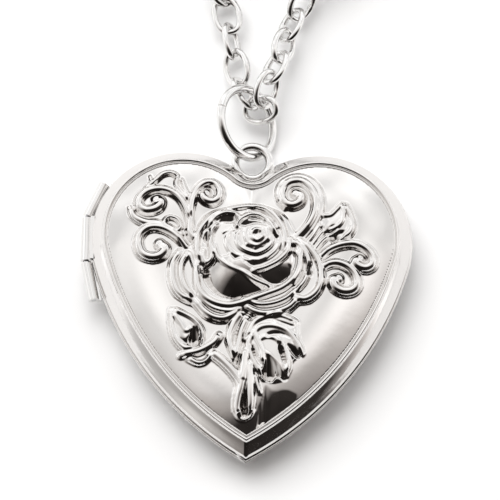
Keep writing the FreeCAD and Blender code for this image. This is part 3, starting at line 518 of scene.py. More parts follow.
SCROLLS = (
    ("left high scroll", 0.34, 0.52, 0.66, ((-5.24, 6.07), (-5.62, 7.35), (-6.16, 8.44), (-6.96, 9.16),
        (-8.01, 9.45), (-9.05, 9.24), (-9.73, 8.62), (-9.8, 7.88), (-9.18, 7.44), (-8.32, 7.6),
        (-7.9, 8.12), (-8.25, 8.48))),
    ("left inner scroll", 0.34, 0.5, 0.66, ((-5.25, 6.44), (-5.27, 7.54), (-5.12, 8.65), (-4.71, 9.59),
        (-4.03, 10.16), (-3.33, 10.13), (-2.84, 9.55), (-2.87, 8.81), (-3.38, 8.38), (-3.99, 8.5),
        (-4.26, 8.86), (-4.01, 9.15))),
    ("left low scroll", 0.36, 0.54, 0.66, ((-5.63, 4.13), (-6.52, 5.11), (-7.66, 5.77), (-8.8, 5.83),
        (-9.56, 5.31), (-9.8, 4.38), (-9.43, 3.47), (-8.64, 3.12), (-7.86, 3.28), (-7.44, 3.89),
        (-7.89, 4.34))),
    ("left leaf lobe", 0.5, 0.3, 0.5, ((-6.35, 5.3), (-7.93, 6.13), (-9.24, 6.33), (-10.21, 6.85),
        (-10.58, 7.67))),
    ("left eye curl", 0.2, 0.2, 0.42, ((-7.4, 5.73), (-7.59, 6.37), (-7.17, 6.85), (-6.47, 6.68),
        (-6.11, 6.05), (-6.44, 5.58), (-7.05, 5.65))),
    ("left hook", 0.26, 0.26, 0.5, ((-9.24, 9.56), (-8.38, 10.32), (-7.79, 10.89), (-7.1, 11.05),
        (-6.57, 10.78))),
    ("left leaf tip", 0.2, 0.12, 0.35, ((-8.28, 9.49), (-8.72, 10.03), (-8.92, 10.77))),
    ("left small leaf a", 0.26, 0.16, 0.42, ((-5.47, 8.46), (-6.27, 9.36), (-6.64, 10.0), (-6.48, 10.65))),
    ("left small leaf b", 0.24, 0.14, 0.42, ((-5.39, 8.74), (-5.84, 9.56), (-6.13, 10.47))),
    ("left root", 0.42, 0.34, 0.55, ((-4.77, 4.79), (-5.31, 5.52), (-5.33, 6.44), (-5.53, 7.35))),
    ("right high scroll", 0.38, 0.5, 0.66, ((4.08, 5.41), (4.84, 6.26), (5.43, 7.42), (5.58, 8.49),
        (5.39, 9.41), (4.85, 10.18), (4.14, 10.57), (3.28, 10.46), (2.72, 9.89), (2.61, 9.01), (2.97, 8.42),
        (3.58, 8.25), (4.14, 8.54), (4.26, 9.1), (3.82, 9.36))),
    ("right high scroll back", 0.34, 0.22, 0.4, ((4.6, 5.14), (5.36, 6.18), (5.95, 7.48), (6.05, 8.78),
        (5.77, 9.88), (5.1, 10.64), (4.22, 11.04), (3.27, 10.92), (2.49, 10.34), (2.21, 9.5), (2.36, 8.68),
        (2.89, 7.95))),
    ("right strip a", 0.26, 0.22, 0.45, ((4.62, 4.41), (5.38, 5.44), (6.05, 6.57))),
    ("right strip b", 0.26, 0.22, 0.45, ((5.41, 3.97), (6.08, 4.91), (6.68, 5.48))),
    ("right strip c", 0.24, 0.2, 0.4, ((5.06, 4.24), (5.65, 5.08), (6.32, 6.02))),
    ("right upper scroll", 0.36, 0.52, 0.64, ((6.02, 3.53), (6.88, 4.24), (7.91, 4.68), (9.04, 4.81),
        (10.0, 4.42), (10.58, 3.7), (10.55, 3.01), (10.04, 2.67), (9.43, 2.79), (9.12, 3.15), (9.5, 3.48))),
    ("right lower scroll", 0.38, 0.54, 0.64, ((6.13, 2.52), (6.99, 2.96), (7.77, 2.98), (8.56, 2.63),
        (9.14, 1.96), (9.28, 1.13), (8.86, 0.57), (8.08, 0.46), (7.38, 0.81), (7.2, 1.35), (7.63, 1.59))),
    ("right bud left edge", 0.24, 0.24, 0.5, ((6.12, 7.3), (6.82, 7.32), (7.33, 7.8), (7.84, 8.46))),
    ("right bud middle", 0.26, 0.26, 0.62, ((7.93, 8.37), (7.99, 7.26), (7.62, 6.42), (6.67, 5.85))),
    ("right bud right edge", 0.3, 0.34, 0.6, ((8.1, 8.37), (8.6, 7.37), (8.79, 6.36), (8.33, 5.57),
        (7.38, 5.27))),
    ("stem left arm", 0.46, 0.46, 0.6, ((-3.24, -5.44), (-2.35, -6.1), (-1.47, -6.95), (-0.85, -7.75),
        (-0.57, -8.47))),
    ("stem fork arm", 0.42, 0.52, 0.66, ((-0.21, -5.17), (-0.32, -6.09), (-0.39, -7.01), (-0.53, -8.11))),
    ("stem", 0.48, 0.36, 0.62, ((-0.46, -7.37), (-0.61, -8.47), (-0.81, -9.39), (-0.88, -10.31),
        (-0.69, -10.85))),
    ("stem right slope", 0.44, 0.42, 0.52, ((0.11, -6.08), (0.19, -7.54), (0.22, -8.82), (0.24, -9.91),
        (0.08, -10.55))),
    ("stem leaf base", 0.22, 0.16, 0.32, ((0.62, -7.35), (0.85, -8.25), (1.08, -8.98))),
    ("stem foot", 0.14, 0.14, 0.24, ((-1.13, -10.59), (-0.77, -11.12), (-0.25, -11.34), (0.27, -11.1),
        (0.6, -10.54))),
    ("small leaf", 0.5, 0.3, 0.55, ((-0.72, -1.71), (-1.39, -2.92), (-1.7, -4.3), (-1.24, -5.66))),
    ("small leaf right", 0.36, 0.26, 0.5, ((-0.19, -2.24), (-0.68, -3.54), (-0.91, -4.74), (-1.06, -5.75))),
    ("bud sepal upper", 0.34, 0.4, 0.52, ((-5.83, -5.69), (-4.28, -5.33), (-3.08, -4.61), (-2.58, -3.87))),
    ("bud sepal lower", 0.3, 0.2, 0.35, ((-5.21, -5.95), (-4.34, -6.38), (-3.65, -6.18), (-3.15, -5.44))),
    ("bud outer left", 0.26, 0.34, 0.5, ((-6.79, -1.6), (-6.72, -2.88), (-6.38, -4.15), (-5.58, -5.05),
        (-4.72, -4.93))),
    ("bud upper", 0.34, 0.24, 0.55, ((-6.53, -1.68), (-5.65, -2.03), (-4.69, -2.64), (-4.06, -3.54),
        (-4.12, -4.64))),
    ("bud middle", 0.3, 0.26, 0.5, ((-6.61, -1.96), (-5.89, -2.95), (-5.44, -3.58), (-4.85, -3.2))),
    ("leaf lobe one", 0.4, 0.3, 0.5, ((-0.15, -4.07), (0.43, -2.69), (1.37, -2.11), (2.67, -1.98),
        (4.06, -2.49))),
    ("leaf lobe two", 0.42, 0.34, 0.56, ((0.12, -4.43), (0.79, -3.22), (1.99, -2.92), (3.3, -3.34),
        (4.19, -4.41), (4.55, -5.23))),
    ("leaf lobe three", 0.4, 0.3, 0.56, ((0.56, -4.79), (1.24, -4.04), (2.28, -4.1), (3.17, -5.08),
        (3.45, -6.35), (3.29, -7.09))),
    ("leaf lobe four", 0.36, 0.28, 0.5, ((0.81, -4.41), (1.17, -5.14), (1.97, -5.75), (2.42, -6.75),
        (2.53, -7.57))),
    ("leaf lobe five", 0.38, 0.28, 0.5, ((0.36, -3.69), (-0.05, -4.8), (0.41, -5.98), (0.95, -6.97),
        (1.4, -7.6))),
    ("leaf midrib", 0.3, 0.26, 0.66, ((0.27, -3.33), (0.81, -4.41), (1.18, -5.32), (1.2, -6.23))),
)
ROSE_LIPS = (
    ("rose left outer lip", 0.34, 0.3, 0.34, ((-6.14, 3.74), (-6.77, 2.72), (-6.83, 1.61), (-6.54, 0.42),
        (-5.95, -0.38), (-5.16, -0.73))),
    ("rose left second lip", 0.3, 0.28, 0.4, ((-5.52, 3.48), (-5.98, 2.55), (-6.0, 1.45), (-5.62, 0.36),
        (-4.91, -0.45))),
    ("rose left strip", 0.2, 0.16, 0.34, ((-5.26, 3.49), (-4.98, 2.58), (-4.7, 1.76))),
    ("rose lower left lip", 0.34, 0.34, 0.36, ((-4.82, -0.72), (-4.01, -1.71), (-3.13, -2.28),
        (-2.18, -2.39), (-1.24, -1.91), (-0.64, -1.25))),
    ("rose lower right lip", 0.34, 0.32, 0.36, ((-0.56, -1.15), (0.32, -1.63), (1.28, -1.84), (2.49, -1.62),
        (3.52, -1.13), (4.19, -0.38))),
    ("rose lower right second lip", 0.28, 0.26, 0.42, ((-0.4, -0.6), (0.74, -1.03), (2.04, -0.9),
        (3.15, -0.41), (3.92, 0.34))),
    ("rose right outer lip", 0.34, 0.34, 0.36, ((3.84, -0.21), (4.72, -0.46), (5.57, 0.02), (6.08, 0.86),
        (6.18, 2.06), (5.86, 3.25), (5.14, 4.24), (4.26, 4.95))),
    ("rose right second lip", 0.3, 0.26, 0.42, ((3.57, 4.84), (4.27, 4.4), (4.9, 3.5), (5.09, 2.4),
        (4.77, 1.29), (4.09, 0.35))),
    ("rose right third lip", 0.24, 0.22, 0.44, ((3.85, 3.93), (4.29, 3.2), (4.32, 2.1), (3.73, 0.98))),
    ("rose front lip", 0.34, 0.34, 0.46, ((-4.55, 2.78), (-4.7, 1.67), (-4.54, 0.48), (-3.96, -0.42),
        (-2.99, -0.99), (-1.86, -1.19), (-0.82, -0.98), (0.29, -0.53), (1.5, -0.04), (2.79, 0.54),
        (3.77, 1.44), (4.22, 2.56), (4.29, 3.66), (4.0, 4.67))),
    ("rose front lip low", 0.24, 0.24, 0.34, ((-4.57, -0.07), (-3.86, -0.97), (-2.89, -1.54),
        (-1.67, -1.69), (-0.73, -1.3))),
    ("rose left tall lip", 0.32, 0.3, 0.44, ((-4.38, 2.78), (-4.71, 4.06), (-4.61, 5.26), (-4.11, 6.19),
        (-3.35, 7.04), (-2.4, 7.58))),
    ("rose left inner lip", 0.26, 0.26, 0.46, ((-3.18, 3.27), (-3.55, 4.37), (-3.48, 5.38), (-3.07, 6.13))),
    ("rose fold", 0.3, 0.26, 0.4, ((-4.14, 3.71), (-4.17, 3.15), (-3.85, 2.61), (-3.43, 2.99),
        (-3.36, 3.73))),
    ("rose top back lip", 0.32, 0.3, 0.4, ((-2.4, 7.53), (-1.37, 7.84), (-0.15, 8.05), (0.98, 7.9),
        (1.86, 7.33), (2.58, 6.38), (2.95, 5.19), (2.97, 4.09))),
    ("rose top left lip", 0.28, 0.26, 0.46, ((-3.67, 6.02), (-3.17, 6.77), (-2.31, 7.26), (-1.44, 7.1),
        (-0.91, 6.65))),
    ("rose top lip", 0.28, 0.28, 0.5, ((-1.24, 6.09), (-0.73, 6.79), (0.04, 7.18), (0.91, 7.02),
        (1.62, 6.35), (2.16, 5.35))),
    ("rose ring four", 0.24, 0.26, 0.3, ((-3.29, 4.28), (-2.91, 3.19), (-1.94, 2.39), (-0.71, 1.87),
        (0.43, 1.17), (1.74, 0.61))),
    ("rose ring right", 0.28, 0.28, 0.48, ((0.24, 1.94), (1.36, 2.3), (2.48, 2.97), (3.24, 3.91),
        (3.39, 5.02))),
    ("rose ring three", 0.2, 0.2, 0.16, ((-1.93, 5.61), (-2.16, 4.59), (-1.79, 3.68), (-0.91, 3.11),
        (0.14, 2.77), (1.17, 3.07), (2.11, 3.79), (2.53, 4.72), (2.42, 5.73))),
    ("rose ring two", 0.17, 0.17, 0.16, ((-0.98, 5.91), (-1.3, 4.98), (-1.02, 4.16), (-0.23, 3.68),
        (0.64, 3.56), (1.5, 4.05), (1.92, 4.79), (1.72, 5.71), (1.02, 6.15))),
    ("rose ring one", 0.16, 0.16, 0.15, ((-0.37, 5.93), (-0.53, 5.19), (-0.25, 4.46), (0.45, 4.16),
        (1.14, 4.4), (1.52, 5.06), (1.29, 5.79), (0.67, 6.09), (-0.11, 5.98))),
    ("rose core", 0.15, 0.14, 0.16, ((0.0, 4.93), (0.53, 4.66), (1.04, 5.05), (0.94, 5.6), (0.42, 5.72),
        (0.08, 5.48))),
)
ROSE_PETALS = (
    ("front petal", (-1.09, 3.26, 5.75), (3.9, 13.0, 6.0), ((-1.63, 3.39), (-0.69, 2.84), (0.41, 2.18),
        (1.07, 1.62), (1.85, 0.9), (2.07, 0.56), (1.32, 0.19), (0.73, -0.11), (0.03, -0.38), (-0.61, -0.58),
        (-1.37, -0.58), (-2.19, -0.44), (-2.85, -0.18), (-3.51, 0.4), (-3.96, 1.02), (-4.08, 1.59),
        (-3.99, 2.17), (-3.62, 2.76), (-2.54, 3.19))),
    ("right petal", (0.64, 3.58, 5.72), (6.0, 9.0, 5.0), ((0.58, 1.89), (1.49, 2.32), (2.24, 2.66),
        (3.16, 2.88), (3.61, 2.26), (3.46, 1.51), (2.87, 1.04), (2.01, 0.84), (1.52, 1.0), (1.13, 1.39))),
)
ROSE_CUTS = (
    ("top hollow", 0.42, 0.12, ((-1.14, 6.02), (-0.93, 6.45), (-0.5, 6.7), (0.2, 6.72), (0.86, 6.54),
        (1.19, 6.13), (0.32, 6.26), (-0.44, 6.04))),
    ("top left hollow", 0.42, 0.12, ((-3.03, 6.22), (-2.73, 6.75), (-2.09, 7.08), (-1.46, 7.05),
        (-1.3, 6.73), (-1.58, 6.38), (-2.4, 6.33))),
    ("top back hollow", 0.42, 0.12, ((-0.58, 7.44), (-0.25, 7.7), (0.5, 7.82), (1.16, 7.61), (1.6, 7.21),
        (2.05, 6.65), (1.28, 6.92), (0.73, 7.19), (0.08, 7.35))),
    ("left hollow", 0.42, 0.12, ((-4.12, 4.81), (-4.14, 5.39), (-3.8, 5.68), (-3.57, 5.52), (-3.56, 5.11),
        (-3.66, 4.71), (-3.98, 4.47))),
    ("low left hollow", 0.42, 0.12, ((-4.46, 1.58), (-4.56, 2.16), (-4.43, 2.5), (-4.2, 2.17),
        (-4.03, 1.77), (-4.24, 1.53))),
    ("ring hollow", 0.42, 0.2, ((-1.95, 3.49), (-1.68, 3.52), (-0.92, 3.4), (-0.57, 3.37), (-0.97, 3.06),
        (-1.4, 2.95))),
    ("ring low hollow", 0.42, 0.2, ((-0.47, 2.73), (0.17, 3.07), (0.82, 3.11), (1.47, 3.41), (1.68, 3.48),
        (1.26, 2.95), (0.67, 2.53), (0.08, 2.37))),
    ("core hollow", 0.5, 0.55, ((0.07, 5.33), (0.25, 5.59), (0.61, 5.63), (0.77, 5.46), (0.56, 5.17),
        (0.29, 5.11))),
    ("core crescent left", 0.5, 0.38, ((-0.51, 4.28), (-0.35, 4.4), (0.15, 4.12), (0.37, 4.01),
        (0.32, 3.84), (-0.17, 3.89))),
    ("core crescent right", 0.5, 0.38, ((0.39, 4.02), (0.8, 4.37), (1.22, 4.61), (1.54, 4.91), (1.71, 4.8),
        (1.34, 4.39), (0.8, 4.08), (0.43, 3.84))),
    ("ring side hollow", 0.5, 0.12, ((-2.51, 5.34), (-2.38, 5.57), (-1.95, 5.62), (-1.92, 5.39),
        (-2.27, 5.3))),
    ("ring upper hollow", 0.5, 0.12, ((-1.81, 5.43), (-1.68, 5.63), (-0.97, 5.68), (-1.13, 5.53),
        (-1.62, 5.4))),
    ("rose right notch", 0.5, 0.12, ((2.15, 5.85), (2.27, 6.31), (2.59, 5.8), (2.34, 5.7))),
    ("right side hollow", 0.42, 0.12, ((4.78, 2.03), (5.19, 2.94), (5.4, 1.85), (4.98, 1.69))),
)
CUTS = (
    ("leaf cut one", 0.5, ((1.9, -2.31), (2.45, -2.29), (3.91, -2.8), (3.81, -3.03), (2.86, -2.77))),
    ("leaf cut two", 0.5, ((1.34, -3.71), (1.98, -3.36), (2.67, -3.37), (3.43, -3.76), (3.99, -4.32),
        (3.18, -3.88), (2.19, -3.79), (1.59, -4.02))),
    ("leaf cut three", 0.6, ((2.44, -4.31), (2.94, -4.3), (3.33, -6.02), (3.08, -6.21), (2.66, -5.2))),
    ("leaf cut four", 0.6, ((0.13, -4.62), (0.49, -4.75), (0.89, -5.88), (1.35, -6.55), (1.0, -6.5),
        (0.49, -5.68))),
    ("leaf cut five", 0.5, ((1.52, -5.44), (2.03, -5.69), (2.59, -6.35), (2.9, -7.03), (3.5, -7.27),
        (3.21, -7.75), (2.46, -7.56), (2.07, -7.89), (1.27, -7.6), (0.61, -7.04), (1.06, -6.87),
        (1.35, -6.49))),
    ("leaf cut six", 0.5, ((3.14, -4.45), (3.74, -4.59), (4.68, -5.25), (4.31, -5.68), (3.76, -5.38))),
    ("stem groove", 0.5, ((-0.36, -8.38), (-0.22, -8.43), (-0.09, -8.83), (-0.05, -9.51), (0.05, -10.19),
        (0.08, -10.64), (-0.17, -10.94), (-0.37, -10.77), (-0.32, -10.2), (-0.31, -9.29))),
    ("stem shade", 0.1, ((1.41, -8.05), (2.2, -8.67), (3.41, -8.46), (4.46, -9.16), (3.45, -10.46),
        (2.43, -11.4), (1.41, -12.25), (0.89, -11.9), (0.94, -10.17), (1.35, -9.24))),
    ("stem fork cut", 0.5, ((-1.04, -5.77), (-0.9, -5.02), (-0.81, -5.65), (-0.6, -5.3), (-0.63, -5.99),
        (-0.92, -6.51), (-1.08, -6.63), (-1.7, -6.19), (-1.36, -6.12))),
    ("bud cut", 0.5, ((-5.19, -3.26), (-4.75, -3.04), (-4.34, -3.5), (-3.99, -4.22), (-4.24, -4.67),
        (-4.85, -4.93), (-5.55, -4.63), (-6.07, -4.02), (-5.56, -4.25), (-5.12, -4.04))),
    ("bud side cut", 0.5, ((-4.65, -2.88), (-4.4, -2.97), (-3.98, -3.8), (-4.07, -4.33), (-4.33, -3.6))),
    ("right bud cut", 0.5, ((6.38, 5.75), (7.02, 6.51), (7.68, 6.49), (7.38, 5.98), (6.73, 5.62))),
    ("right bud low cut", 0.5, ((6.62, 5.18), (7.34, 5.9), (8.16, 6.0), (8.01, 5.41), (7.36, 5.04),
        (6.89, 5.02))),
)
BULGES = (
    ("right bud", 0.42, 1.0, ((6.21, 7.44), (6.81, 7.61), (7.3, 8.12), (7.66, 8.55), (8.06, 8.65),
        (8.45, 8.24), (8.64, 7.66), (9.03, 7.2), (9.1, 6.37), (8.82, 5.63), (8.13, 5.1), (7.28, 5.0),
        (6.74, 5.22), (6.26, 5.79), (6.01, 6.44), (6.08, 7.03))),
    ("lower bud", 0.38, 1.0, ((-6.91, -1.89), (-6.79, -2.83), (-6.51, -4.08), (-5.95, -4.91), (-5.24, -5.2),
        (-4.55, -4.97), (-4.07, -4.33), (-4.0, -3.17), (-4.61, -2.35), (-5.62, -1.74), (-6.23, -1.34),
        (-6.73, -1.41))),
    ("leaf", 0.45, 1.0, ((1.11, -2.21), (2.14, -1.72), (3.36, -1.78), (4.23, -2.31), (4.33, -2.85),
        (4.44, -4.04), (4.81, -5.22), (4.3, -5.6), (3.71, -6.26), (3.47, -7.45), (2.79, -7.83),
        (1.93, -7.95), (1.05, -7.42), (0.15, -5.71), (-0.23, -4.44), (0.17, -2.88))),
    ("rose bed", 0.3, 0.7, ((-6.49, 3.83), (-7.15, 2.43), (-7.2, 1.05), (-6.65, -0.31), (-5.59, -1.02),
        (-4.8, -1.36), (-3.91, -2.35), (-2.69, -2.77), (-1.31, -2.46), (-0.55, -1.61), (0.42, -2.14),
        (1.46, -2.29), (3.19, -1.97), (4.29, -0.93), (5.41, -0.62), (6.43, 0.69), (6.57, 2.16), (6.2, 3.53),
        (5.22, 4.79), (3.89, 5.77), (3.08, 7.13), (1.76, 8.01), (0.01, 8.33), (-2.06, 7.91), (-3.96, 7.21),
        (-4.8, 5.9), (-5.11, 4.51))),
    ("rose heart", 0.24, 2.4, ((-4.43, 4.8), (-4.2, 6.19), (-3.01, 7.42), (-1.03, 8.12), (1.15, 8.09),
        (2.66, 6.66), (3.57, 4.56), (3.61, 2.72), (2.6, 1.32), (0.45, 0.34), (-2.16, 0.73), (-3.93, 2.24))),
    ("rose terrace three", 0.12, 0.42, ((-1.93, 5.61), (-2.21, 4.59), (-1.84, 3.59), (-0.91, 2.97),
        (0.14, 2.63), (1.26, 2.94), (2.2, 3.7), (2.61, 4.72), (2.42, 5.82), (1.44, 6.53), (-0.12, 6.58),
        (-1.24, 6.27))),
    ("rose terrace two", 0.13, 0.36, ((-0.98, 6.0), (-1.35, 4.98), (-1.11, 4.07), (-0.32, 3.54),
        (0.64, 3.42), (1.59, 3.96), (2.0, 4.8), (1.72, 5.8), (0.93, 6.33), (-0.2, 6.3))),
    ("rose terrace one", 0.13, 0.32, ((1.54, 5.11), (1.42, 4.62), (1.06, 4.26), (0.57, 4.11), (0.06, 4.23),
        (-0.31, 4.57), (-0.45, 5.05), (-0.33, 5.54), (0.03, 5.9), (0.52, 6.04), (1.03, 5.93), (1.4, 5.58))),
    ("rose terrace core", 0.1, 0.26, ((1.04, 5.28), (0.97, 5.02), (0.78, 4.82), (0.51, 4.75), (0.24, 4.81),
        (0.04, 4.99), (-0.04, 5.25), (0.03, 5.51), (0.22, 5.7), (0.49, 5.78), (0.76, 5.71), (0.96, 5.53))),
)

GRID = 0.076
GRID_LOW = (-13.4, -14.0)
GRID_HIGH = (13.4, 13.2)
# insets where the crown starts to swell and where the plate's own mesh starts, under the fine bead
PLATE_EDGE = 1.40
PLATE_START = 1.60
PLATE_UNDERSIDE = 3.82
OUTLINE_STEPS = 6
OUTLINE_MARGIN = 0.2
RIDGE_STEPS = 8
RIDGE_MARGIN = 1.3
RIDGE_FULLNESS = 1.15
# a ridge's ends have this share of its height, and it rises at this rate along it
RIDGE_END_HEIGHT = 0.55
RIDGE_END_RISE = 6
# a cut's upper edge is evened out over this many grid columns
SMOOTHED_COLUMNS = 5
# the rose's cuts are measured from the surface as it is after this bulge, before the terraces
ROSE_BED_LAST = "rose heart"
PLATE_FOOT = 4.22
CROWN_SLOPE = 0.27
CROWN_WIDTH = 4.8
TIP_ROUNDING = 0.9
TIP_FALL = 0.013
TIP_FALL_START = -8.8


class Relief:
    """Heights of the cover's plate on a grid, with what is stamped into it."""

    def __init__(self):
        self.x = np.arange(GRID_LOW[0], GRID_HIGH[0] + GRID, GRID)
        self.y = np.arange(GRID_LOW[1], GRID_HIGH[1] + GRID, GRID)
        self.X, self.Y = np.meshgrid(self.x, self.y, indexing="ij")
        self.inset = inset_of(self.X, self.Y)
        self.plate = self.crown()
        self.z = self.plate.copy()

    def crown(self):
        """The plate swells from the bead inwards, and rounds over the middle line near the tip."""
        near_side = SIDE[2] - np.hypot(np.abs(self.X) - SIDE[0], self.Y - SIDE[1])
        far_side = SIDE[2] - np.hypot(np.abs(self.X) + SIDE[0], self.Y - SIDE[1])
        rounding = TIP_ROUNDING * np.log1p(np.exp((near_side - far_side) / TIP_ROUNDING))
        depth = np.clip(self.inset - rounding - PLATE_EDGE, -1, CROWN_WIDTH)
        fall = TIP_FALL * np.clip(TIP_FALL_START - self.Y, 0, None) ** 2
        return PLATE_FOOT + CROWN_SLOPE * depth * (1 - depth / (2 * CROWN_WIDTH)) - fall

    def window(self, points, margin):
        """Slices of the grid that hold these points and a margin."""
        low = points.min(axis=0) - margin
        high = points.max(axis=0) + margin
        across = slice(*np.searchsorted(self.x, (low[0], high[0])))
        along = slice(*np.searchsorted(self.y, (low[1], high[1])))
        return across, along

    def near(self, points, where):
        """Distance of each grid point to a line of points, and the share along it."""
        X, Y = self.X[where], self.Y[where]
        best = np.full(X.shape, FAR)
        share = np.zeros(X.shape)
        for number in range(len(points) - 1):
            start, way = points[number], points[number + 1] - points[number]
            length = max(way @ way, 1e-9)
            t = np.clip(((X - start[0]) * way[0] + (Y - start[1]) * way[1]) / length, 0, 1)
            distance = np.hypot(X - start[0] - t * way[0], Y - start[1] - t * way[1])
            closer = distance < best
            best[closer] = distance[closer]
            share[closer] = ((number + t) / (len(points) - 1))[closer]
        return best, share

    def inside(self, points, where):
        """Which grid points lie in this outline."""
        X, Y = self.X[where], self.Y[where]
        inside = np.zeros(X.shape, bool)
        for start, stop in zip(points, np.roll(points, -1, axis=0)):
            crosses = (start[1] > Y) != (stop[1] > Y)
            run = stop[1] - start[1] or 1e-9
            inside ^= crosses & (X < (stop[0] - start[0]) * (Y - start[1]) / run + start[0])
        return inside

    def closed(self, points):
        """A smooth ring through an outline's points, with the piece of the grid that holds it."""
        ring = curve_through(list(points) + [points[0]], OUTLINE_STEPS)
        return ring, self.window(ring, OUTLINE_MARGIN)

    def ridge(self, points, root, end, height, bed):
        """A rounded ridge that tapers from root to end, standing on the bed."""
        line = curve_through(points, RIDGE_STEPS)
        where = self.window(line, max(root, end) * RIDGE_MARGIN)
        distance, share = self.near(line, where)
        half = root + (end - root) * share
        ends = np.clip(RIDGE_END_HEIGHT + RIDGE_END_RISE * np.minimum(share, 1 - share), 0, 1)
        round_top = np.sqrt(np.clip(1 - (distance / half) ** 2, 0, 1)) ** RIDGE_FULLNESS
        lifted = bed[where] + height * ends * round_top
        self.z[where] = np.where(round_top > 0, np.maximum(self.z[where], lifted), self.z[where])

    def bulge(self, points, height, edge):
        """Lifts an outline to an even height, with a rounded edge."""
        line, where = self.closed(points)
        distance, _ = self.near(line, where)
        share = np.clip(distance / edge, 0, 1)
        lift = height * np.sqrt(1 - (1 - share) ** 2) * self.inside(line, where)
        self.z[where] = self.z[where] + lift

    def petal(self, points, middle, radii):
        """A smooth petal that swells to its middle, with its own radius left, right and along Y."""
        line, where = self.closed(points)
        inside = self.inside(line, where)
        x, y = self.X[where] - middle[0], self.Y[where] - middle[1]
        across = np.where(x < 0, radii[0], radii[1])
        swelling = middle[2] - x ** 2 / (2 * across) - y ** 2 / (2 * radii[2])
        self.z[where] = np.where(inside, swelling, self.z[where])

    def hollow(self, points, slope, base=None, lift=0.0):
        """A scoop whose floor falls towards -Y from its upper edge, and ends at a steep wall.

        The floor is measured from the surface as it stands, or from a base with a lift.
        """
        line, where = self.closed(points)
        inside = self.inside(line, where)
        Y = self.Y[where]
        top = np.where(inside, Y, Y[:, :1]).max(axis=1)
        reach = np.pad(top, SMOOTHED_COLUMNS // 2, mode="edge")
        top = np.convolve(reach, np.ones(SMOOTHED_COLUMNS) / SMOOTHED_COLUMNS, "valid")[:, None]
        start = self.z[where] if base is None else base[where] + lift
        scooped = start - slope * np.clip(top - Y, 0, None)
        self.z[where] = np.where(inside, scooped, self.z[where])

    def soften(self):
        """Evens each height out with its neighbours', along X and then along Y."""
        for axis in (0, 1):
            self.z = (np.roll(self.z, 1, axis) + np.roll(self.z, -1, axis) + 2 * self.z) / 4


RELIEF_FLOOR = 3.88
RELIEF_CEILING = 6.3


def stamped():
    """The plate's top surface with the rose, scrolls, buds, stem and leaves."""
    relief = Relief()
    for name, height, edge, points in BULGES:
        relief.bulge(points, height, edge)
        if name == ROSE_BED_LAST:
            low_bed = relief.z.copy()
    bed = relief.z.copy()
    for _, middle, radii, points in ROSE_PETALS:
        relief.petal(points, middle, radii)
    for _, root, end, height, points in SCROLLS:
        relief.ridge(points, root, end, height, relief.plate)
    for _, root, end, height, points in ROSE_LIPS:
        relief.ridge(points, root, end, height, bed)
    for _, slope, lift, points in ROSE_CUTS:
        relief.hollow(points, slope, low_bed, lift)
    for _, slope, points in CUTS:
        relief.hollow(points, slope)
    relief.soften()
    relief.z = np.clip(relief.z, RELIEF_FLOOR, RELIEF_CEILING)
    return relief


def plate_top():
    """The stamped surface inside the beads: its points, and the corners of each square of the grid."""
    relief = stamped()
    keep = relief.inset > PLATE_START
    cells = keep[:-1, :-1] & keep[1:, :-1] & keep[:-1, 1:] & keep[1:, 1:]
    used = np.zeros(keep.shape, bool)
    used[:-1, :-1] |= cells
    used[1:, :-1] |= cells
    used[:-1, 1:] |= cells
    used[1:, 1:] |= cells
    index = np.full(keep.shape, -1)
    index[used] = np.arange(used.sum())
    points = np.column_stack([relief.X[used], relief.Y[used], relief.z[used]])
    i, j = np.nonzero(cells)
    return points, np.column_stack([index[i, j], index[i + 1, j], index[i + 1, j + 1], index[i, j + 1]])


def closed_plate():
    """A closed slab: the stamped top, a flat underside, and a wall round it under the fine bead."""
    points, quads = plate_top()
    faces = [tuple(quad) for quad in quads.tolist()]
    edges = np.vstack([quads[:, (0, 1)], quads[:, (1, 2)], quads[:, (2, 3)], quads[:, (3, 0)]])
    both = {(a, b) for a, b in edges.tolist()}
    follow = {}
    for a, b in both:
        if (b, a) not in both:
            follow[a] = b
    start = next(iter(follow))
    loop = [start]
    while follow[loop[-1]] != start:
        loop.append(follow[loop[-1]])
    base = len(points)
    under = points[loop].copy()
    under[:, 2] = PLATE_UNDERSIDE
    points = np.vstack([points, under])
    for number, top in enumerate(loop):
        after = (number + 1) % len(loop)
        faces.append((loop[after], top, base + number, base + after))
    faces.append(tuple(base + number for number in range(len(loop) - 1, -1, -1)))
    return points, faces


rim_points, rim_faces = rim()
plate_points, plate_faces = closed_plate()
shift = len(rim_points)
front = mesh_object(
    "front_cover_stamped",
    np.vstack([rim_points, plate_points]),
    rim_faces + [tuple(corner + shift for corner in face) for face in plate_faces],
)
# the flat underside is the last face
front.data.polygons[len(front.data.polygons) - 1].use_smooth = False
paint(front, RELIEF)
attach(front, "case_front")
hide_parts("front_cover")
print("front cover faces", len(front.data.polygons))


# ---------------- thumb nub at the tip

# a lobe's ends have this share of its radius, and it fills out quickly from there
NUB_END = 0.12
NUB_FULLNESS = 0.45
NUB_CLIP = 0.02


def nub_lobe(start, stop, radius, along=10, around=12):
    """A pinched capsule between two points, rings of points and faces."""
    start, stop = np.array(start), np.array(stop)
    way = (stop - start) / np.linalg.norm(stop - start)
    side = np.cross(way, (0, 0, 1))
    side /= np.linalg.norm(side)
    lift = np.cross(side, way)
    points = []
    for row in range(along + 1):
        share = row / along
        arch = math.sin(math.pi * min(max(share, NUB_CLIP), 1 - NUB_CLIP))
        swell = radius * (NUB_END + (1 - NUB_END) * arch ** NUB_FULLNESS)
        middle = start + (stop - start) * share
        for step in range(around):
            turn = 2 * math.pi * step / around
            points.append(middle + swell * (side * math.cos(turn) + lift * math.sin(turn)))
    faces = ring_faces(along + 1, around, joined=False)
    faces.append(tuple(range(around - 1, -1, -1)))
    faces.append(tuple(along * around + step for step in range(around)))
    return points, faces


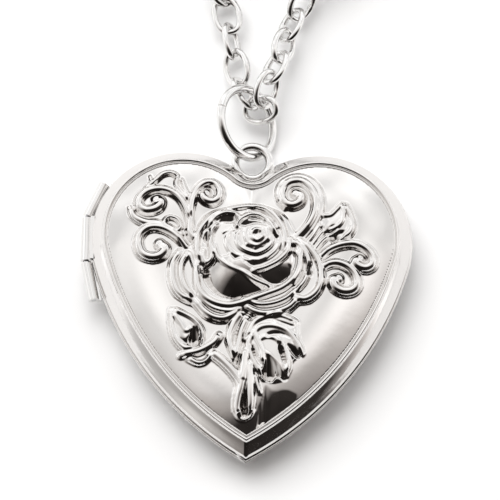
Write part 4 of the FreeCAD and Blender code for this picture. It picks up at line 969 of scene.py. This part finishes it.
# each lobe's ends and radius
NUB_LOBES = (
    ((-1.15, -13.42, 2.86), (-0.42, -14.10, 2.80), 0.15),
    ((-0.78, -13.98, 2.62), (-0.12, -14.46, 2.66), 0.13),
)
nub_points = []
nub_faces = []
for start, stop, radius in NUB_LOBES:
    points, faces = nub_lobe(start, stop, radius)
    nub_faces += [tuple(corner + len(nub_points) for corner in face) for face in faces]
    nub_points += points
nub = mesh_object("tip_nub", nub_points, nub_faces)
paint(nub, FITTING)
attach(nub, "case_front")
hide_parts("tip_catch")


# ---------------- floor, light and camera

def vector_at(azimuth, elevation):
    """Unit vector towards a place seen at this azimuth (0 is -Y, 90 is +X) and elevation."""
    a, e = math.radians(azimuth), math.radians(elevation)
    return Vector((math.sin(a) * math.cos(e), -math.cos(a) * math.cos(e), math.sin(e)))


FLOOR_SIZE = 6.0
FLOOR_GAP = 0.02 * MM
FLOOR_CENTRE = Vector((0, 20 * MM, cad_low[2] - FLOOR_GAP))
FLOOR_CORNERS = ((-1, -1, 0), (1, -1, 0), (1, 1, 0), (-1, 1, 0))
PAPER_GREY = (0.955, 0.955, 0.955)
floor_mesh = bpy.data.meshes.new("floor")
floor_points = [FLOOR_CENTRE + Vector(corner) * FLOOR_SIZE / 2 for corner in FLOOR_CORNERS]
floor_mesh.from_pydata(floor_points, [], [(0, 1, 2, 3)])
floor = link_object(bpy.data.objects.new("floor", floor_mesh))
floor_material, floor_tree, floor_shader = new_material("pale paper", PAPER_GREY, 0.0, 0.7)
bumped(floor_tree, floor_shader, noise(floor_tree, scale=900, detail=6), depth=3e-6)
paint(floor, floor_material)


def area_light(name, azimuth, elevation, distance, size, power):
    """A round lamp that faces the object and isn't mirrored in it."""
    lamp = bpy.data.lights.new(name, "AREA")
    lamp.shape = "DISK"
    lamp.size = size
    lamp.energy = power
    holder = link_object(bpy.data.objects.new(name, lamp))
    way = vector_at(azimuth, elevation)
    holder.location = way * distance
    holder.rotation_mode = "QUATERNION"
    holder.rotation_quaternion = way.to_track_quat("Z", "Y")
    holder.visible_glossy = False


area_light("soft key", azimuth=215, elevation=58, distance=0.9, size=0.8, power=4.4)


# strength of the tent where metal mirrors it and where it lights the paper
TENT_SEEN = 1.22
TENT_CAST = 1.6
PATCH_SCALE = 3.0
PATCH_TONES = (0.74, 1.22)
# azimuth and elevation of the middle of each side, and its tones from far away to the middle
OPENING = (18, 31, (
    (0.0, (1.0, 1.0, 1.0, 1)),
    (0.32, (1.0, 0.99, 0.98, 1)),
    (0.40, (0.84, 0.82, 0.81, 1)),
    (0.48, (0.50, 0.475, 0.46, 1)),
    (0.57, (0.28, 0.26, 0.25, 1)),
    (0.66, (0.03, 0.026, 0.024, 1)),
    (1.0, (0.012, 0.010, 0.009, 1)),
))
SHADED_SIDE = (-48, 32, (
    (0.0, (1.0, 1.0, 1.0, 1)),
    (0.64, (1.0, 1.0, 1.0, 1)),
    (0.80, (0.70, 0.69, 0.68, 1)),
    (1.0, (0.45, 0.44, 0.43, 1)),
))


def tent_side(tree, place, azimuth, elevation, stops):
    """Tone of the tent by how near a direction is to the middle of one of its sides."""
    dot = node(tree, "VectorMath")
    dot.operation = "DOT_PRODUCT"
    dot.inputs[1].default_value = vector_at(azimuth, elevation)
    ramp = node(tree, "ValToRGB")
    elements = ramp.color_ramp.elements
    elements[0].position, elements[0].color = stops[0]
    elements[1].position, elements[1].color = stops[-1]
    for position, colour in stops[1:-1]:
        elements.new(position).color = colour
    tree.links.new(place.outputs["Generated"], dot.inputs[0])
    tree.links.new(dot.outputs["Value"], ramp.inputs["Fac"])
    return ramp.outputs["Color"]


def studio_world():
    """A white tent, open and so dark low in front, with a shaded side on the left."""
    world = bpy.data.worlds.new("studio")
    bpy.context.scene.world = world
    world.use_nodes = True
    tree = world.node_tree
    background = tree.nodes["Background"]
    place = node(tree, "TexCoord")
    front = tent_side(tree, place, *OPENING)
    left = tent_side(tree, place, *SHADED_SIDE)
    both = node(tree, "VectorMath")
    both.operation = "MULTIPLY"
    tree.links.new(front, both.inputs[0])
    tree.links.new(left, both.inputs[1])
    patches = node(tree, "TexNoise", Scale=PATCH_SCALE, Detail=1.0)
    tone = ranged(tree, patches, *PATCH_TONES)
    shade = node(tree, "VectorMath")
    shade.operation = "SCALE"
    tree.links.new(place.outputs["Generated"], patches.inputs["Vector"])
    tree.links.new(both.outputs["Vector"], shade.inputs[0])
    tree.links.new(tone, shade.inputs["Scale"])
    tree.links.new(shade.outputs["Vector"], background.inputs["Color"])
    # the paper is lit more strongly than the metal mirrors the tent: a white sheet, and metal with tones
    path = node(tree, "LightPath")
    strength = node(tree, "MapRange", To_Min=TENT_SEEN, To_Max=TENT_CAST)
    tree.links.new(path.outputs["Is Diffuse Ray"], strength.inputs["Value"])
    tree.links.new(strength.outputs["Result"], background.inputs["Strength"])


studio_world()

CAMERA_AZIMUTH = -1.39
CAMERA_ELEVATION = 70.99
CAMERA_ROLL = 2.8
CAMERA_DISTANCE = 1.031
CAMERA_LENS = 854.0
# the camera looks past this point, shifted up and to the right in the picture
LOOKED_AT = Vector((0, 0, 2.4)) * MM
AIM_UP = 4.637 * MM
AIM_RIGHT = 0.064 * MM

back = vector_at(CAMERA_AZIMUTH, CAMERA_ELEVATION)
level = Vector((0, 0, 1)).cross(back).normalized()
upright = back.cross(level)
roll = math.radians(CAMERA_ROLL)
right = level * math.cos(roll) + upright * math.sin(roll)
up = upright * math.cos(roll) - level * math.sin(roll)
lens = bpy.data.cameras.new("camera")
lens.lens = CAMERA_LENS
lens.sensor_width = 36.0
lens.clip_start = 0.01
lens.clip_end = 20.0
camera = link_object(bpy.data.objects.new("camera", lens))
camera.location = LOOKED_AT + up * AIM_UP + right * AIM_RIGHT + back * CAMERA_DISTANCE
camera.rotation_mode = "QUATERNION"
camera.rotation_quaternion = Matrix((right, up, back)).transposed().to_quaternion()
bpy.context.scene.camera = camera

scene = bpy.context.scene
scene.view_settings.view_transform = "Standard"
scene.view_settings.exposure = 0.0
